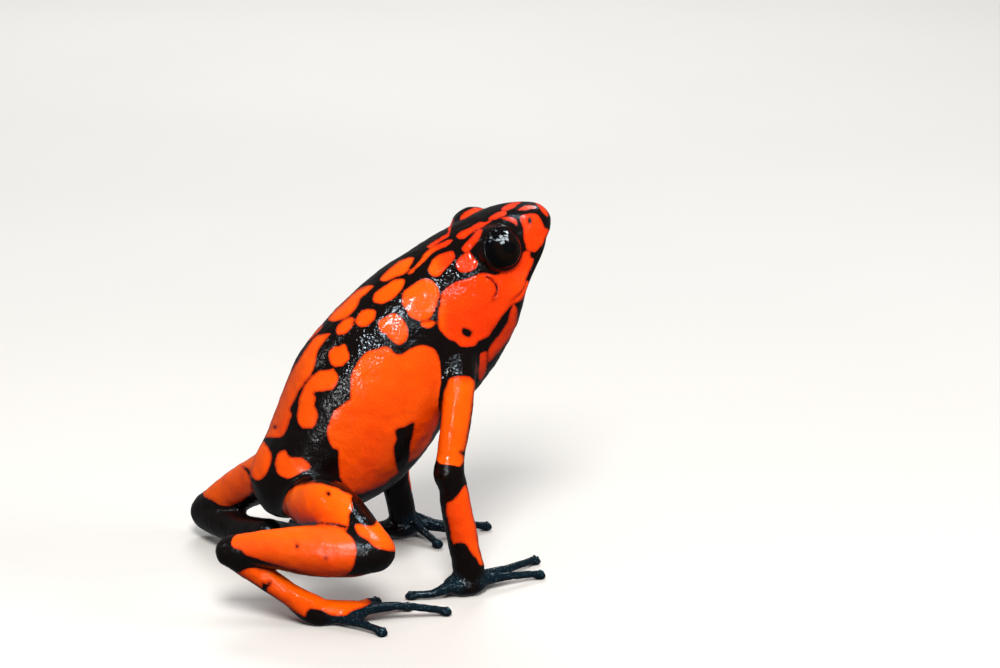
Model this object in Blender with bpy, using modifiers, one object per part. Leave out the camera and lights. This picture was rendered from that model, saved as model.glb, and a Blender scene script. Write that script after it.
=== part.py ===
"""A harlequin poison frog, Oophaga solanensis, life size, propped up on its hands.

Places are written in millimetres as forward, left and up, with the floor at up = 0.
The frog faces -Y, its left side is +X and up is +Z. Its body is 35 mm from snout to vent.
"""

import math

import bmesh
import bpy
from mathutils import Matrix, Vector
from mathutils.bvhtree import BVHTree

# Driving sizes, in millimetres
MM = 0.001
GAP = 0.3
FORWARD_MID = -5.6
LEFT_MID = -0.1
EYE_RADIUS = 1.85
EYE_GAP = 0.26
LID_RIM = 0.3
LID_AHEAD = 0.6
LID_OUT = 0.08
LIP_RISE = 0.2
LIP_HEIGHT = 0.75
LIP_MIDDLE = 0.45
MOUTH_CUT = 0.24
MOUTH_DEPTH = 0.4
NOSTRIL_RADIUS = 0.28
EAR_RADIUS = 0.95
EAR_CUT = 0.15
TOE_RADIUS = 0.4
PAD_RADIUS = 0.58
PAD_FLATNESS = 0.7
DIGIT_ROOT = 1.6
DIGIT_TIP = 0.9
PALM_ROOT_RADIUS = 1.0
SOLE_RADII = (1.0, 1.25, 1.15, 1.05)
SOLE_FLATNESS = 0.95
FLOOR_SINK = 0.08
HEAD_VOXEL = 0.27
HEAD_TRIANGLES = 3600
SOFT_SHARE = 0.5
SOFT_ROUNDS = 5
BEYOND_HEAD = 12.0
HEAD_SPARE = 2.0
CUT_MERGE = 0.0001
SKIN_ROUGHNESS = 0.3
EYE_ROUGHNESS = 0.05

# How many sides and rings each kind of piece has
BODY_SIDES = 36
BODY_RINGS = 38
END_RINGS = 2
LIMB_MESH = (16, 12)
TOE_MESH = (8, 6)
WRIST_MESH = (14, 8)
SOLE_MESH = (16, 10)
MOUND_MESH = (24, 14)
SOCKET_MESH = (24, 16)
EYE_MESH = (22, 14)
NOSTRIL_MESH = (12, 8)
PALM_MESH = (20, 12)
PAD_MESH = (10, 6)
LIDS_MESH = (28, 8)
EAR_MESH = (20, 6)

ORANGE = (0.86, 0.13, 0.01, 1.0)
BLACK = (0.012, 0.011, 0.013, 1.0)
EYE_BLACK = (0.004, 0.004, 0.005, 1.0)

# The trunk and head in the plane of symmetry, from vent to snout: the point on the back,
# the point on the belly, the half width, how square the upper and lower halves are, and
# how far down from the back the body is widest.
BODY_STATIONS = (
    ((-16.95, 10.7), (-16.9, 9.3), 0.9, 2.0, 2.0, 0.5),
    ((-16.25, 12.15), (-16.35, 7.7), 2.4, 2.0, 2.0, 0.5),
    ((-14.95, 14.25), (-14.75, 6.3), 3.9, 2.05, 2.0, 0.5),
    ((-13.85, 17.05), (-10.0, 6.1), 5.1, 2.1, 2.0, 0.5),
    ((-12.15, 20.95), (-4.9, 8.0), 6.0, 2.1, 2.1, 0.53),
    ((-9.25, 24.25), (-1.6, 10.9), 6.4, 2.1, 2.1, 0.54),
    ((-5.15, 27.7), (0.85, 14.15), 6.3, 2.1, 2.1, 0.52),
    ((-1.2, 30.05), (3.7, 16.7), 5.8, 2.1, 2.1, 0.5),
    ((1.85, 31.6), (5.85, 19.45), 5.4, 2.2, 2.1, 0.52),
    ((4.25, 32.65), (7.45, 22.65), 5.2, 2.3, 2.1, 0.56),
    ((6.45, 33.35), (8.35, 26.0), 4.5, 2.3, 2.1, 0.56),
    ((8.6, 33.55), (9.8, 28.6), 3.3, 2.3, 2.1, 0.5),
    ((10.25, 33.35), (10.45, 30.5), 2.2, 2.2, 2.1, 0.5),
    ((11.0, 32.65), (10.65, 31.5), 1.3, 2.0, 2.0, 0.5),
)
VENT_TIP = (-17.1, 0.0, 9.95)
SNOUT_TIP = (11.1, 0.0, 32.0)
NECK_STATION = 7.75
EYE_PLACE = (5.15, 3.7, 30.45)
EYE_LOOKS = (0.22, 0.93, 0.3)
MOUND_INWARD = 0.45
EYE_MOUND = (2.5, 2.0, 2.15)
NOSTRIL_PLACE = (8.4, 32.45)
EAR_PLACE = (3.7, 27.3)
# The closed mouth seen from the side, from its corner to the tip of the snout
MOUTH_LINE = ((6.0, 25.8), (7.4, 26.95), (8.35, 28.25), (9.45, 29.85), (10.35, 30.95), (12.0, 32.3))

# Limbs: each row is a place on the limb's line and its radius there. The two sides are
# written apart, because the frog doesn't sit evenly.
RIGHT_UPPER_ARM = (
    ((0.6, -3.2, 22.6), 2.0),
    ((0.8, -5.2, 20.5), 1.75),
    ((0.45, -6.5, 17.9), 1.45),
    ((-0.12, -7.1, 15.0), 1.36),
    ((-0.55, -7.4, 12.8), 1.28),
    ((-0.8, -7.65, 11.2), 1.42),
)
RIGHT_FOREARM = (
    ((-0.8, -7.65, 11.2), 1.42),
    ((-0.4, -7.7, 9.9), 1.3),
    ((-0.2, -7.8, 8.2), 1.38),
    ((0.28, -7.95, 5.55), 1.4),
    ((0.62, -8.1, 3.55), 1.37),
    ((0.9, -8.15, 1.9), 1.42),
)
LEFT_UPPER_ARM = (
    ((0.6, 3.2, 22.6), 2.0),
    ((0.8, 5.2, 20.5), 1.75),
    ((0.1, 6.5, 17.9), 1.45),
    ((-0.7, 7.1, 14.4), 1.36),
    ((-1.4, 7.5, 11.8), 1.28),
    ((-1.7, 7.65, 10.2), 1.42),
)
LEFT_FOREARM = (
    ((-1.7, 7.65, 10.2), 1.42),
    ((-1.45, 7.9, 8.2), 1.3),
    ((-1.1, 8.2, 5.6), 1.35),
    ((-0.7, 8.4, 3.6), 1.3),
    ((-0.4, 8.5, 1.9), 1.25),
)
RIGHT_THIGH = (
    ((-13.15, -3.5, 8.75), 2.05),
    ((-13.0, -6.5, 9.4), 2.15),
    ((-12.0, -10.0, 10.0), 2.15),
    ((-9.85, -15.0, 7.4), 1.85),
)
RIGHT_SHANK = (
    ((-9.85, -15.0, 7.4), 1.85),
    ((-12.0, -13.8, 7.1), 2.15),
    ((-14.8, -12.0, 7.0), 2.2),
    ((-18.0, -9.9, 6.8), 1.7),
    ((-21.0, -8.1, 6.3), 1.35),
)
RIGHT_TARSUS = (
    ((-21.0, -8.1, 6.3), 1.3),
    ((-18.8, -9.4, 4.5), 1.12),
    ((-16.6, -10.8, 2.9), 1.0),
    ((-14.3, -11.6, 1.5), 1.1),
)
LEFT_THIGH = (
    ((-12.6, 2.8, 10.2), 2.7),
    ((-13.9, 6.0, 8.1), 2.35),
    ((-15.6, 9.9, 5.75), 2.0),
    ((-17.65, 14.0, 2.45), 1.85),
)
LEFT_SHANK = (
    ((-17.65, 14.0, 2.45), 1.85),
    ((-17.0, 11.2, 2.5), 1.8),
    ((-16.3, 7.9, 2.6), 1.45),
    ((-15.6, 4.8, 3.3), 1.3),
    ((-14.9, 2.2, 4.0), 1.25),
)
LEFT_TARSUS = (
    ((-14.9, 2.2, 4.0), 1.2),
    ((-13.2, 3.9, 3.1), 1.1),
    ((-11.2, 5.9, 2.0), 1.02),
    ((-9.6, 7.5, 1.4), 1.0),
)
RIGHT_PALM = ((0.5, -8.2, 0.85), (2.0, 1.65, 1.0))
LEFT_PALM = ((-0.5, 8.6, 0.85), (2.0, 1.65, 1.0))
RIGHT_FINGERS = {
    "first": ((0.2, -7.2, 1.0), (1.2, -5.3, 0.9), (1.6, -3.9, 0.45)),
    "second": ((1.6, -7.3, 1.0), (5.5, -5.3, 0.75), (8.9, -3.0, 0.5)),
    "third": ((1.6, -8.3, 1.1), (4.9, -7.6, 0.9), (8.1, -6.8, 0.5)),
    "fourth": ((-1.0, -8.9, 1.1), (-2.75, -9.0, 0.6), (-4.6, -8.35, 0.45)),
}
LEFT_FINGERS = {
    "first": ((0.2, 7.9, 1.5), (0.95, 6.3, 1.0), (1.7, 4.1, 0.45)),
    "second": ((1.0, 8.1, 1.2), (3.2, 6.6, 0.9), (5.2, 5.2, 0.45)),
    "third": ((1.0, 8.5, 1.5), (3.2, 7.3, 1.1), (7.55, 7.5, 0.5)),
    "fourth": ((-0.9, 9.0, 1.0), (-2.8, 9.3, 0.9), (-4.6, 9.2, 0.45)),
}
RIGHT_SOLE = ((-14.4, -11.5, 1.15), (-12.6, -12.0, 1.05), (-10.9, -12.5, 1.05))
LEFT_SOLE = ((-9.9, 7.2, 1.15), (-8.6, 8.6, 1.05), (-7.5, 10.0, 0.95))
RIGHT_TOES = {
    "first": ((-12.6, -11.6, 0.8), (-11.2, -10.2, 0.7), (-10.0, -9.1, 0.45)),
    "second": ((-11.9, -11.9, 0.8), (-9.9, -10.2, 0.8), (-8.0, -8.8, 0.45)),
    "third": ((-11.4, -12.2, 0.9), (-8.5, -11.6, 0.9), (-5.7, -11.0, 0.45)),
    "fourth": ((-11.1, -12.6, 1.2), (-7.1, -13.1, 1.35), (-2.8, -13.2, 0.45)),
    "fifth": ((-12.3, -12.8, 0.8), (-10.9, -14.7, 0.7), (-9.6, -16.3, 0.45)),
}
LEFT_TOES = {
    "first": ((-8.9, 8.3, 0.8), (-7.5, 8.1, 0.7), (-6.4, 8.0, 0.45)),
    "second": ((-8.3, 9.0, 0.8), (-6.8, 9.9, 0.8), (-5.5, 10.6, 0.45)),
    "third": ((-7.9, 9.6, 0.8), (-6.2, 11.3, 1.0), (-4.9, 12.8, 0.45)),
    "fourth": ((-8.0, 9.8, 0.9), (-6.8, 12.9, 1.2), (-5.7, 16.2, 0.5)),
    "fifth": ((-8.8, 9.6, 0.8), (-9.2, 12.0, 0.7), (-9.6, 14.0, 0.45)),
}


def at(place):
    """A place written as forward, left and up in millimetres, as a point in metres."""
    forward, left, up = place
    return Vector((left - LEFT_MID, FORWARD_MID - forward, up)) * MM


def blend(rows, where):
    """Rows of numbers read at a fractional place, on a smooth curve through all of them."""
    last = len(rows) - 1
    i = min(int(where), last - 1)
    t = where - i
    before, a, b, after = (rows[min(max(k, 0), last)] for k in (i - 1, i, i + 1, i + 2))
    return tuple(
        0.5 * (2 * q + (r - p) * t + (2 * p - 5 * q + 4 * r - s) * t * t + (3 * q - p - 3 * r + s) * t ** 3)
        for p, q, r, s in zip(before, a, b, after)
    )


BODY_ROWS = [(*back, *belly, *rest) for back, belly, *rest in BODY_STATIONS]


def body_point(station, degrees, swell=0.0):
    """The point of the body at a station and an angle: 0 is the back, 90 the left, 180 the belly."""
    back_f, back_u, belly_f, belly_u, wide, square_up, square_low, widest = blend(BODY_ROWS, station)
    back, belly = Vector((back_f, back_u)), Vector((belly_f, belly_u))
    middle = back.lerp(belly, widest)
    angle = math.radians(degrees)
    rise, side = math.cos(angle), math.sin(angle)
    power = 2 / (square_up if rise > 0 else square_low)
    reach = abs(rise) ** power
    edge = back if rise > 0 else belly
    place = middle + (edge - middle) * reach
    if swell and (edge - middle).length:
        place += (edge - middle).normalized() * swell * reach
    across = math.copysign(abs(side) ** power, side) * (wide + swell)
    return at((place.x, across, place.y))


def mesh_object(name, points, faces):
    """A new object from points and faces, its faces turned outwards."""
    mesh = bpy.data.meshes.new(name)
    mesh.from_pydata([tuple(p) for p in points], [], faces)
    shape = bpy.data.objects.new(name, mesh)
    bpy.context.scene.collection.objects.link(shape)
    work = bmesh.new()
    work.from_mesh(mesh)
    bmesh.ops.recalc_face_normals(work, faces=work.faces)
    work.to_mesh(mesh)
    work.free()
    return shape


def loft(name, rings, first_pole, last_pole):
    """A closed skin through rings of points that all have as many points, with a pole at each end."""
    sides = len(rings[0])
    points = [p for ring in rings for p in ring] + [first_pole, last_pole]
    faces = []
    for k in range(len(rings) - 1):
        for j in range(sides):
            a, b = k * sides + j, k * sides + (j + 1) % sides
            faces.append((a, b, b + sides, a + sides))
    start, end = len(points) - 2, len(points) - 1
    top = (len(rings) - 1) * sides
    for j in range(sides):
        faces.append((start, (j + 1) % sides, j))
        faces.append((end, top + j, top + (j + 1) % sides))
    return mesh_object(name, points, faces)


def body_skin(name, swell=0.0):
    """Trunk and head in one skin, or the same skin moved out by swell millimetres."""
    last = len(BODY_STATIONS) - 1
    rings = []
    for k in range(BODY_RINGS):
        station = last * k / (BODY_RINGS - 1)
        rings.append([body_point(station, 360 * j / BODY_SIDES, swell) for j in range(BODY_SIDES)])
    vent, snout = Vector(VENT_TIP), Vector(SNOUT_TIP)
    vent.x -= swell
    snout.x += swell
    return loft(name, rings, at(vent), at(snout))


def limb(name, rows, mesh=LIMB_MESH, flat=1.0, lean=None):
    """A round limb along its rows, with rounded ends. flat squashes it along lean."""
    sides, count = mesh
    numbers = [(*place, radius) for place, radius in rows]
    last = len(rows) - 1
    line = [blend(numbers, last * k / (count - 1)) for k in range(count)]
    middles, radii = [at(row[:3]) for row in line], [row[3] * MM for row in line]
    lean = Vector((0, 0, 1)) if lean is None else lean
    rings = []

    def ring(middle, along, radius):
        side = along.cross(lean).normalized()
        up = side.cross(along).normalized()
        return [
            middle + side * math.cos(a) * radius + up * math.sin(a) * radius * flat
            for a in (2 * math.pi * j / sides for j in range(sides))
        ]

    ways = [(middles[min(k + 1, count - 1)] - middles[max(k - 1, 0)]).normalized() for k in range(count)]
    for k in range(END_RINGS, 0, -1):
        turn = math.pi / 2 * k / (END_RINGS + 1)
        rings.append(ring(middles[0] - ways[0] * radii[0] * math.sin(turn), ways[0], radii[0] * math.cos(turn)))
    rings += [ring(m, w, r) for m, w, r in zip(middles, ways, radii)]
    for k in range(1, END_RINGS + 1):
        turn = math.pi / 2 * k / (END_RINGS + 1)
        rings.append(ring(middles[-1] + ways[-1] * radii[-1] * math.sin(turn), ways[-1], radii[-1] * math.cos(turn)))
    return loft(name, rings, middles[0] - ways[0] * radii[0], middles[-1] + ways[-1] * radii[-1])


def ball(name, place, sizes, mesh):
    """An ellipsoid from a sphere: half sizes forward, left and up in millimetres."""
    segments, rings = mesh
    bpy.ops.mesh.primitive_uv_sphere_add(segments=segments, ring_count=rings, radius=1)
    shape = bpy.context.object
    shape.name = name
    forward, left, up = sizes
    scale = Matrix.Diagonal((left * MM, forward * MM, up * MM, 1))
    shape.data.transform(Matrix.Translation(at(place)) @ scale)
    return shape


def baked(shape):
    """The shape's mesh with its modifiers carried out, in place of the old one."""
    bpy.context.view_layer.update()
    mesh = bpy.data.meshes.new_from_object(shape.evaluated_get(bpy.context.evaluated_depsgraph_get()))
    old = shape.data
    shape.modifiers.clear()
    shape.data = mesh
    bpy.data.meshes.remove(old)
    return shape


def largest_surface(shape):
    """Keeps the biggest closed surface of a mesh, so a sealed hollow or a loose scrap goes."""
    work = bmesh.new()
    work.from_mesh(shape.data)
    unseen, groups = set(work.faces), []
    while unseen:
        group, queue = [], [unseen.pop()]
        while queue:
            face = queue.pop()
            group.append(face)
            for edge in face.edges:
                for other in edge.link_faces:
                    if other in unseen:
                        unseen.remove(other)
                        queue.append(other)
        groups.append(group)
    groups.sort(key=lambda g: sum(f.calc_area() for f in g))
    for group in groups[:-1]:
        bmesh.ops.delete(work, geom=group, context="FACES")
    loose = [v for v in work.verts if not v.link_faces]
    bmesh.ops.delete(work, geom=loose, context="VERTS")
    work.to_mesh(shape.data)
    work.free()
    return shape


def combined(shape, others, operation, every=False):
    """A Boolean of the shape with closed pieces, which are then removed. every keeps each part."""
    group = bpy.data.collections.new("pieces of " + shape.name)
    bpy.context.scene.collection.children.link(group)
    for other in others:
        for home in list(other.users_collection):
            home.objects.unlink(other)
        group.objects.link(other)
    boolean = shape.modifiers.new(operation.lower(), "BOOLEAN")
    boolean.operation = operation
    boolean.solver = "MANIFOLD"
    boolean.operand_type = "COLLECTION"
    boolean.collection = group
    baked(shape)
    for other in others:
        bpy.data.objects.remove(other)
    bpy.data.collections.remove(group)
    return shape if every else largest_surface(shape)


def clipped(shape, point, outwards, gap=GAP / 2):
    """Cuts off what lies beyond a plane, held back by half the gap between two nodes."""
    way = outwards.normalized()
    work = bmesh.new()
    work.from_mesh(shape.data)
    everything = work.verts[:] + work.edges[:] + work.faces[:]
    bmesh.ops.bisect_plane(
        work, geom=everything, dist=CUT_MERGE * MM, plane_co=point - way * gap * MM, plane_no=way, clear_outer=True
    )
    rims = [edge for edge in work.edges if edge.is_boundary]
    bmesh.ops.holes_fill(work, edges=rims)
    bmesh.ops.recalc_face_normals(work, faces=work.faces)
    work.to_mesh(shape.data)
    work.free()
    return shape


def on_floor(shape):
    """Cuts a small flat where the shape meets the floor."""
    return clipped(shape, Vector((0, 0, 0)), Vector((0, 0, -1)), gap=0)


def finish(colour, roughness):
    """A plain coloured material of the frog's wet skin or eye."""
    name = f"skin {colour[0]:.2f} {roughness:.2f}"
    found = bpy.data.materials.get(name)
    if found:
        return found
    material = bpy.data.materials.new(name)
    material.use_nodes = True
    shader = material.node_tree.nodes["Principled BSDF"]
    shader.inputs["Base Color"].default_value = colour
    shader.inputs["Roughness"].default_value = roughness
    shader.inputs["Metallic"].default_value = 0.0
    return material


def dressed(shape, colour, roughness=SKIN_ROUGHNESS):
    """Gives the node its material and smooth shading."""
    shape.data.materials.clear()
    shape.data.materials.append(finish(colour, roughness))
    shape.data.shade_smooth()
    return shape


def joint_plane(end, start):
    """Where two limb rows meet: the joint's place and the way from one segment into the next."""
    into = (at(end[-1][0]) - at(end[-2][0])).normalized()
    out = (at(start[1][0]) - at(start[0][0])).normalized()
    return at(start[0][0]), (into + out).normalized()


def eye_frame(side):
    """The eye's middle and the way it looks, on the left (1) or right (-1) side."""
    forward, left, up = EYE_PLACE
    look_f, look_l, look_u = EYE_LOOKS
    return at((forward, side * left, up)), Vector((side * look_l, -look_f, look_u)).normalized()


def ring_on(name, middle, normal, radius, thickness, mesh):
    """A torus of the given radius about a point, lying square to a direction."""
    round_sides, sides = mesh
    bpy.ops.mesh.primitive_torus_add(
        major_segments=round_sides, minor_segments=sides, major_radius=radius * MM, minor_radius=thickness * MM
    )
    shape = bpy.context.object
    shape.name = name
    shape.data.transform(Matrix.Translation(middle) @ normal.to_track_quat("Z", "Y").to_matrix().to_4x4())
    return shape


def mouth_plate(name, height, thickness):
    """A thin plate right across the head along the mouth, height above it."""
    points = []
    for side in (-1, 1):
        points += [at((f, side * BEYOND_HEAD, u + height)) for f, u in MOUTH_LINE]
    count = len(MOUTH_LINE)
    faces = [(k, k + 1, count + k + 1, count + k) for k in range(count - 1)]
    plate = mesh_object(name, points, faces)
    solid = plate.modifiers.new("thickness", "SOLIDIFY")
    solid.thickness = thickness * MM
    solid.offset = 0.0
    return baked(plate)


def side_point(shape, forward, up, side):
    """Where a line from the side meets the shape, and the way its skin faces there."""
    tree = BVHTree.FromObject(shape, bpy.context.evaluated_depsgraph_get())
    place, normal, _, _ = tree.ray_cast(at((forward, side * BEYOND_HEAD, up)), Vector((-side, 0, 0)))
    return place, normal


def softened(shape, voxel, rounds, triangles):
    """Melts joined forms into one even skin and thins its mesh down to a number of triangles."""
    remesh = shape.modifiers.new("even skin", "REMESH")
    remesh.mode = "VOXEL"
    remesh.voxel_size = voxel * MM
    smooth = shape.modifiers.new("soft", "SMOOTH")
    smooth.factor = SOFT_SHARE
    smooth.iterations = rounds
    baked(shape)
    thin = shape.modifiers.new("thin", "DECIMATE")
    thin.ratio = triangles / (2 * len(shape.data.polygons))
    thin.use_symmetry = True
    thin.symmetry_axis = "X"
    return largest_surface(baked(shape))


def make_body():
    """The torso and the head, cut apart at the neck, with the face's openings."""
    torso = body_skin("torso")
    head = body_skin("head")
    low, high = body_point(NECK_STATION, 180), body_point(NECK_STATION, 0)
    across = Vector((1, 0, 0)).cross(high - low)
    across *= math.copysign(1, -across.y)
    clipped(torso, low, across)
    clipped(head, low - across.normalized() * HEAD_SPARE * MM, -across)

    mounds, openings = [], []
    for side, name in ((1, "left"), (-1, "right")):
        middle, look = eye_frame(side)
        place = (EYE_PLACE[0], side * EYE_PLACE[1], EYE_PLACE[2])
        mound = (EYE_PLACE[0], side * (EYE_PLACE[1] - MOUND_INWARD), EYE_PLACE[2])
        mounds.append(ball("eye mound " + name, mound, EYE_MOUND, MOUND_MESH))
        socket = EYE_RADIUS + EYE_GAP
        rim = math.sqrt(socket ** 2 - LID_AHEAD ** 2) + LID_OUT
        mounds.append(ring_on("lids " + name, middle + look * LID_AHEAD * MM, look, rim, LID_RIM, LIDS_MESH))
        openings.append(ball("socket " + name, place, (socket,) * 3, SOCKET_MESH))
    lip = body_skin("lip", LIP_RISE)
    combined(lip, [mouth_plate("lip band", LIP_MIDDLE, LIP_HEIGHT)], "INTERSECT")
    combined(head, mounds + [lip], "UNION")
    softened(head, HEAD_VOXEL, SOFT_ROUNDS, HEAD_TRIANGLES)

    for side, name in ((1, "left"), (-1, "right")):
        place, _ = side_point(head, *NOSTRIL_PLACE, side)
        nostril = ball("nostril " + name, (0, 0, 0), (NOSTRIL_RADIUS,) * 3, NOSTRIL_MESH)
        nostril.data.transform(Matrix.Translation(place - at((0, 0, 0))))
        openings.append(nostril)
        ear, outwards = side_point(head, *EAR_PLACE, side)
        openings.append(ring_on("ear " + name, ear, outwards, EAR_RADIUS, EAR_CUT, EAR_MESH))
    groove = mouth_plate("mouth", 0.0, MOUTH_CUT)
    combined(groove, [body_skin("inside", -MOUTH_DEPTH)], "DIFFERENCE", every=True)
    openings.append(groove)
    combined(head, openings, "DIFFERENCE")
    clipped(head, low, -across)
    return dressed(torso, ORANGE), dressed(head, ORANGE)


def make_eyes():
    """Both eyeballs, round and dark."""
    for side, name in ((1, "left"), (-1, "right")):
        place = (EYE_PLACE[0], side * EYE_PLACE[1], EYE_PLACE[2])
        dressed(ball("eye_" + name, place, (EYE_RADIUS,) * 3, EYE_MESH), EYE_BLACK, EYE_ROUGHNESS)


def make_arm(name, upper_rows, lower_rows):
    """Upper arm and forearm, cut apart at the elbow."""
    upper = limb("upper_arm_" + name, upper_rows, lean=Vector((1, 0, 0)))
    lower = limb("forearm_" + name, lower_rows, lean=Vector((1, 0, 0)))
    point, way = joint_plane(upper_rows, lower_rows)
    clipped(upper, point, way)
    clipped(lower, point, -way)
    combined(upper, [body_skin("body room", GAP)], "DIFFERENCE")
    clipped(lower, at(lower_rows[-1][0]), at(lower_rows[-1][0]) - at(lower_rows[-2][0]))
    return dressed(upper, ORANGE), dressed(lower, ORANGE)


def digit(name, places):
    """A finger or toe along its places, with the flattened disc at its tip."""
    root, bend, tip = places
    rows = ((root, TOE_RADIUS * DIGIT_ROOT), (bend, TOE_RADIUS), (tip, TOE_RADIUS * DIGIT_TIP))
    thick = PAD_RADIUS * PAD_FLATNESS
    disc = ball(name + " pad", (tip[0], tip[1], thick - FLOOR_SINK), (PAD_RADIUS, PAD_RADIUS, thick), PAD_MESH)
    return limb(name, rows, TOE_MESH), disc


def make_hand(name, palm, fingers, wrist):
    """The palm with its four fingers, cut off at the wrist and flat on the floor."""
    place, sizes = palm
    shape = ball("hand_" + name, place, sizes, PALM_MESH)
    rows = (wrist[-2], wrist[-1], (place, PALM_ROOT_RADIUS))
    pieces = [limb("wrist " + name, rows, WRIST_MESH, lean=Vector((1, 0, 0)))]
    for finger, places in fingers.items():
        pieces += digit(finger + " finger " + name, places)
    combined(shape, pieces, "UNION")
    clipped(shape, at(wrist[-1][0]), at(wrist[-2][0]) - at(wrist[-1][0]))
    return dressed(on_floor(shape), BLACK)


def make_leg(name, thigh_rows, shank_rows, tarsus_rows):
    """Thigh, shank and tarsus, cut apart at the knee and the heel."""
    thigh, shank = limb("thigh_" + name, thigh_rows), limb("shank_" + name, shank_rows)
    tarsus = limb("tarsus_" + name, tarsus_rows)
    point, way = joint_plane(thigh_rows, shank_rows)
    clipped(thigh, point, way)
    clipped(shank, point, -way)
    point, way = joint_plane(shank_rows, tarsus_rows)
    clipped(shank, point, way)
    clipped(tarsus, point, -way)
    clipped(tarsus, at(tarsus_rows[-1][0]), at(tarsus_rows[-1][0]) - at(tarsus_rows[-2][0]))
    combined(thigh, [body_skin("body room", GAP)], "DIFFERENCE")
    return dressed(thigh, ORANGE), dressed(shank, ORANGE), dressed(tarsus, ORANGE)


def make_foot(name, sole, toes, tarsus_rows):
    """The sole with its five toes, cut off at the ankle and flat on the floor."""
    rows = tuple(zip((tarsus_rows[-2][0], *sole), SOLE_RADII))
    shape = limb("foot_" + name, rows, SOLE_MESH, flat=SOLE_FLATNESS)
    pieces = []
    for toe, places in toes.items():
        pieces += digit(toe + " toe " + name, places)
    combined(shape, pieces, "UNION")
    clipped(shape, at(tarsus_rows[-1][0]), at(tarsus_rows[-2][0]) - at(tarsus_rows[-1][0]))
    return dressed(on_floor(shape), BLACK)


def gather(shapes):
    """Puts every node in one collection named for the frog."""
    frog = bpy.data.collections.new("harlequin poison frog")
    bpy.context.scene.collection.children.link(frog)
    for shape in shapes:
        for group in list(shape.users_collection):
            group.objects.unlink(shape)
        frog.objects.link(shape)


def main():
    """Clears the scene, then builds the frog's parts and gathers them."""
    for old in list(bpy.data.objects):
        bpy.data.objects.remove(old)
    make_body()
    make_eyes()
    make_arm("left", LEFT_UPPER_ARM, LEFT_FOREARM)
    make_arm("right", RIGHT_UPPER_ARM, RIGHT_FOREARM)
    make_hand("left", LEFT_PALM, LEFT_FINGERS, LEFT_FOREARM)
    make_hand("right", RIGHT_PALM, RIGHT_FINGERS, RIGHT_FOREARM)
    make_leg("left", LEFT_THIGH, LEFT_SHANK, LEFT_TARSUS)
    make_leg("right", RIGHT_THIGH, RIGHT_SHANK, RIGHT_TARSUS)
    make_foot("left", LEFT_SOLE, LEFT_TOES, LEFT_TARSUS)
    make_foot("right", RIGHT_SOLE, RIGHT_TOES, RIGHT_TARSUS)
    gather(list(bpy.data.objects))


main()
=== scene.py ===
"""Dresses the life-size model of a poison frog, Oophaga solanensis.

Places are written in millimetres as forward, left and up, the way the solids are sized. One
soft skin covers the whole body. Its pattern is a set of closed outlines in the pixels of the
photograph, carried on to the skin along the photograph's own lines of sight.
"""

import logging
import math
from dataclasses import dataclass
from enum import Enum

import bmesh
import bpy
import numpy as np
from mathutils import Matrix, Vector, noise
from mathutils.bvhtree import BVHTree


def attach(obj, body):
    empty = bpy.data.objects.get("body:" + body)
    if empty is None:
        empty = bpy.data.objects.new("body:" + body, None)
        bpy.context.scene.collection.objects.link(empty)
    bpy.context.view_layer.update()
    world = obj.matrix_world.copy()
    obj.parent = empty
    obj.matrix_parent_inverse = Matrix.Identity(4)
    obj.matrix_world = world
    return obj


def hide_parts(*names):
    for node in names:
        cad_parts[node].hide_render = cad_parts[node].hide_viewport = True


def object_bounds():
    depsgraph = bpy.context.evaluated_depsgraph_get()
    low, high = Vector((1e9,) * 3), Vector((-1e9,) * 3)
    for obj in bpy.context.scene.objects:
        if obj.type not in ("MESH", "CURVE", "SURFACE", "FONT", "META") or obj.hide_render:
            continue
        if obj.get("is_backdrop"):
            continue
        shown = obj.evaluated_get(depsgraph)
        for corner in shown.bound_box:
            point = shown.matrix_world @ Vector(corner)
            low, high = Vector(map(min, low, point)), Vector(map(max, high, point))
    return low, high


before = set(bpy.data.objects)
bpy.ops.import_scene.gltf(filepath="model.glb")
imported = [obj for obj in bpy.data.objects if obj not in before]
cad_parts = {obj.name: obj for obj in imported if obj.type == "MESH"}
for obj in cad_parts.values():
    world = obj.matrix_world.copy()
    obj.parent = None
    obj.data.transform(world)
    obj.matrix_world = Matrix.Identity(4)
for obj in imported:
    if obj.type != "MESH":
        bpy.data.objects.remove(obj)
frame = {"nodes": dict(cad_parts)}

Pair = tuple[float, float]
Place = tuple[float, float, float]
Colour = tuple[float, ...]
Outline = tuple[Pair, ...]
Surface = tuple[np.ndarray, list[tuple[int, ...]]]

LOG = logging.getLogger("frog")
MM = 0.001
# The place on the floor that lies at the frame's origin
FORWARD_MID = -5.6
LEFT_MID = -0.1
UP = np.array((0.0, 0.0, 1.0))
MIRROR = np.array((1.0, -1.0, 1.0))
SIDE_VIEW = (0, 2)
TINY = 1e-9


class Side(Enum):
    """The frog's own two sides."""

    LEFT = 1
    RIGHT = -1


def to_metres(places: np.ndarray) -> np.ndarray:
    """Places as forward, left and up in millimetres, turned into points in metres."""
    columns = (places[:, 1] - LEFT_MID, FORWARD_MID - places[:, 0], places[:, 2])
    return np.stack(columns, axis=1) * MM


def to_places(points: np.ndarray) -> np.ndarray:
    """Points in metres, turned into places as forward, left and up in millimetres."""
    across, back, up = (points / MM).T
    return np.stack((FORWARD_MID - back, across + LEFT_MID, up), axis=1)


def to_point(place: Place) -> Vector:
    """One place in millimetres as a point in metres."""
    return Vector(to_metres(np.array([place], float))[0])


def lengths(ways: np.ndarray) -> np.ndarray:
    """How long each row is, as a way from one place to another."""
    return np.linalg.norm(ways, axis=1)


def soft_step(low: float, high: float, values: np.ndarray) -> np.ndarray:
    """Rises smoothly from 0 at low to 1 at high."""
    t = np.clip((values - low) / (high - low), 0.0, 1.0)
    return t * t * (3.0 - 2.0 * t)


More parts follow.
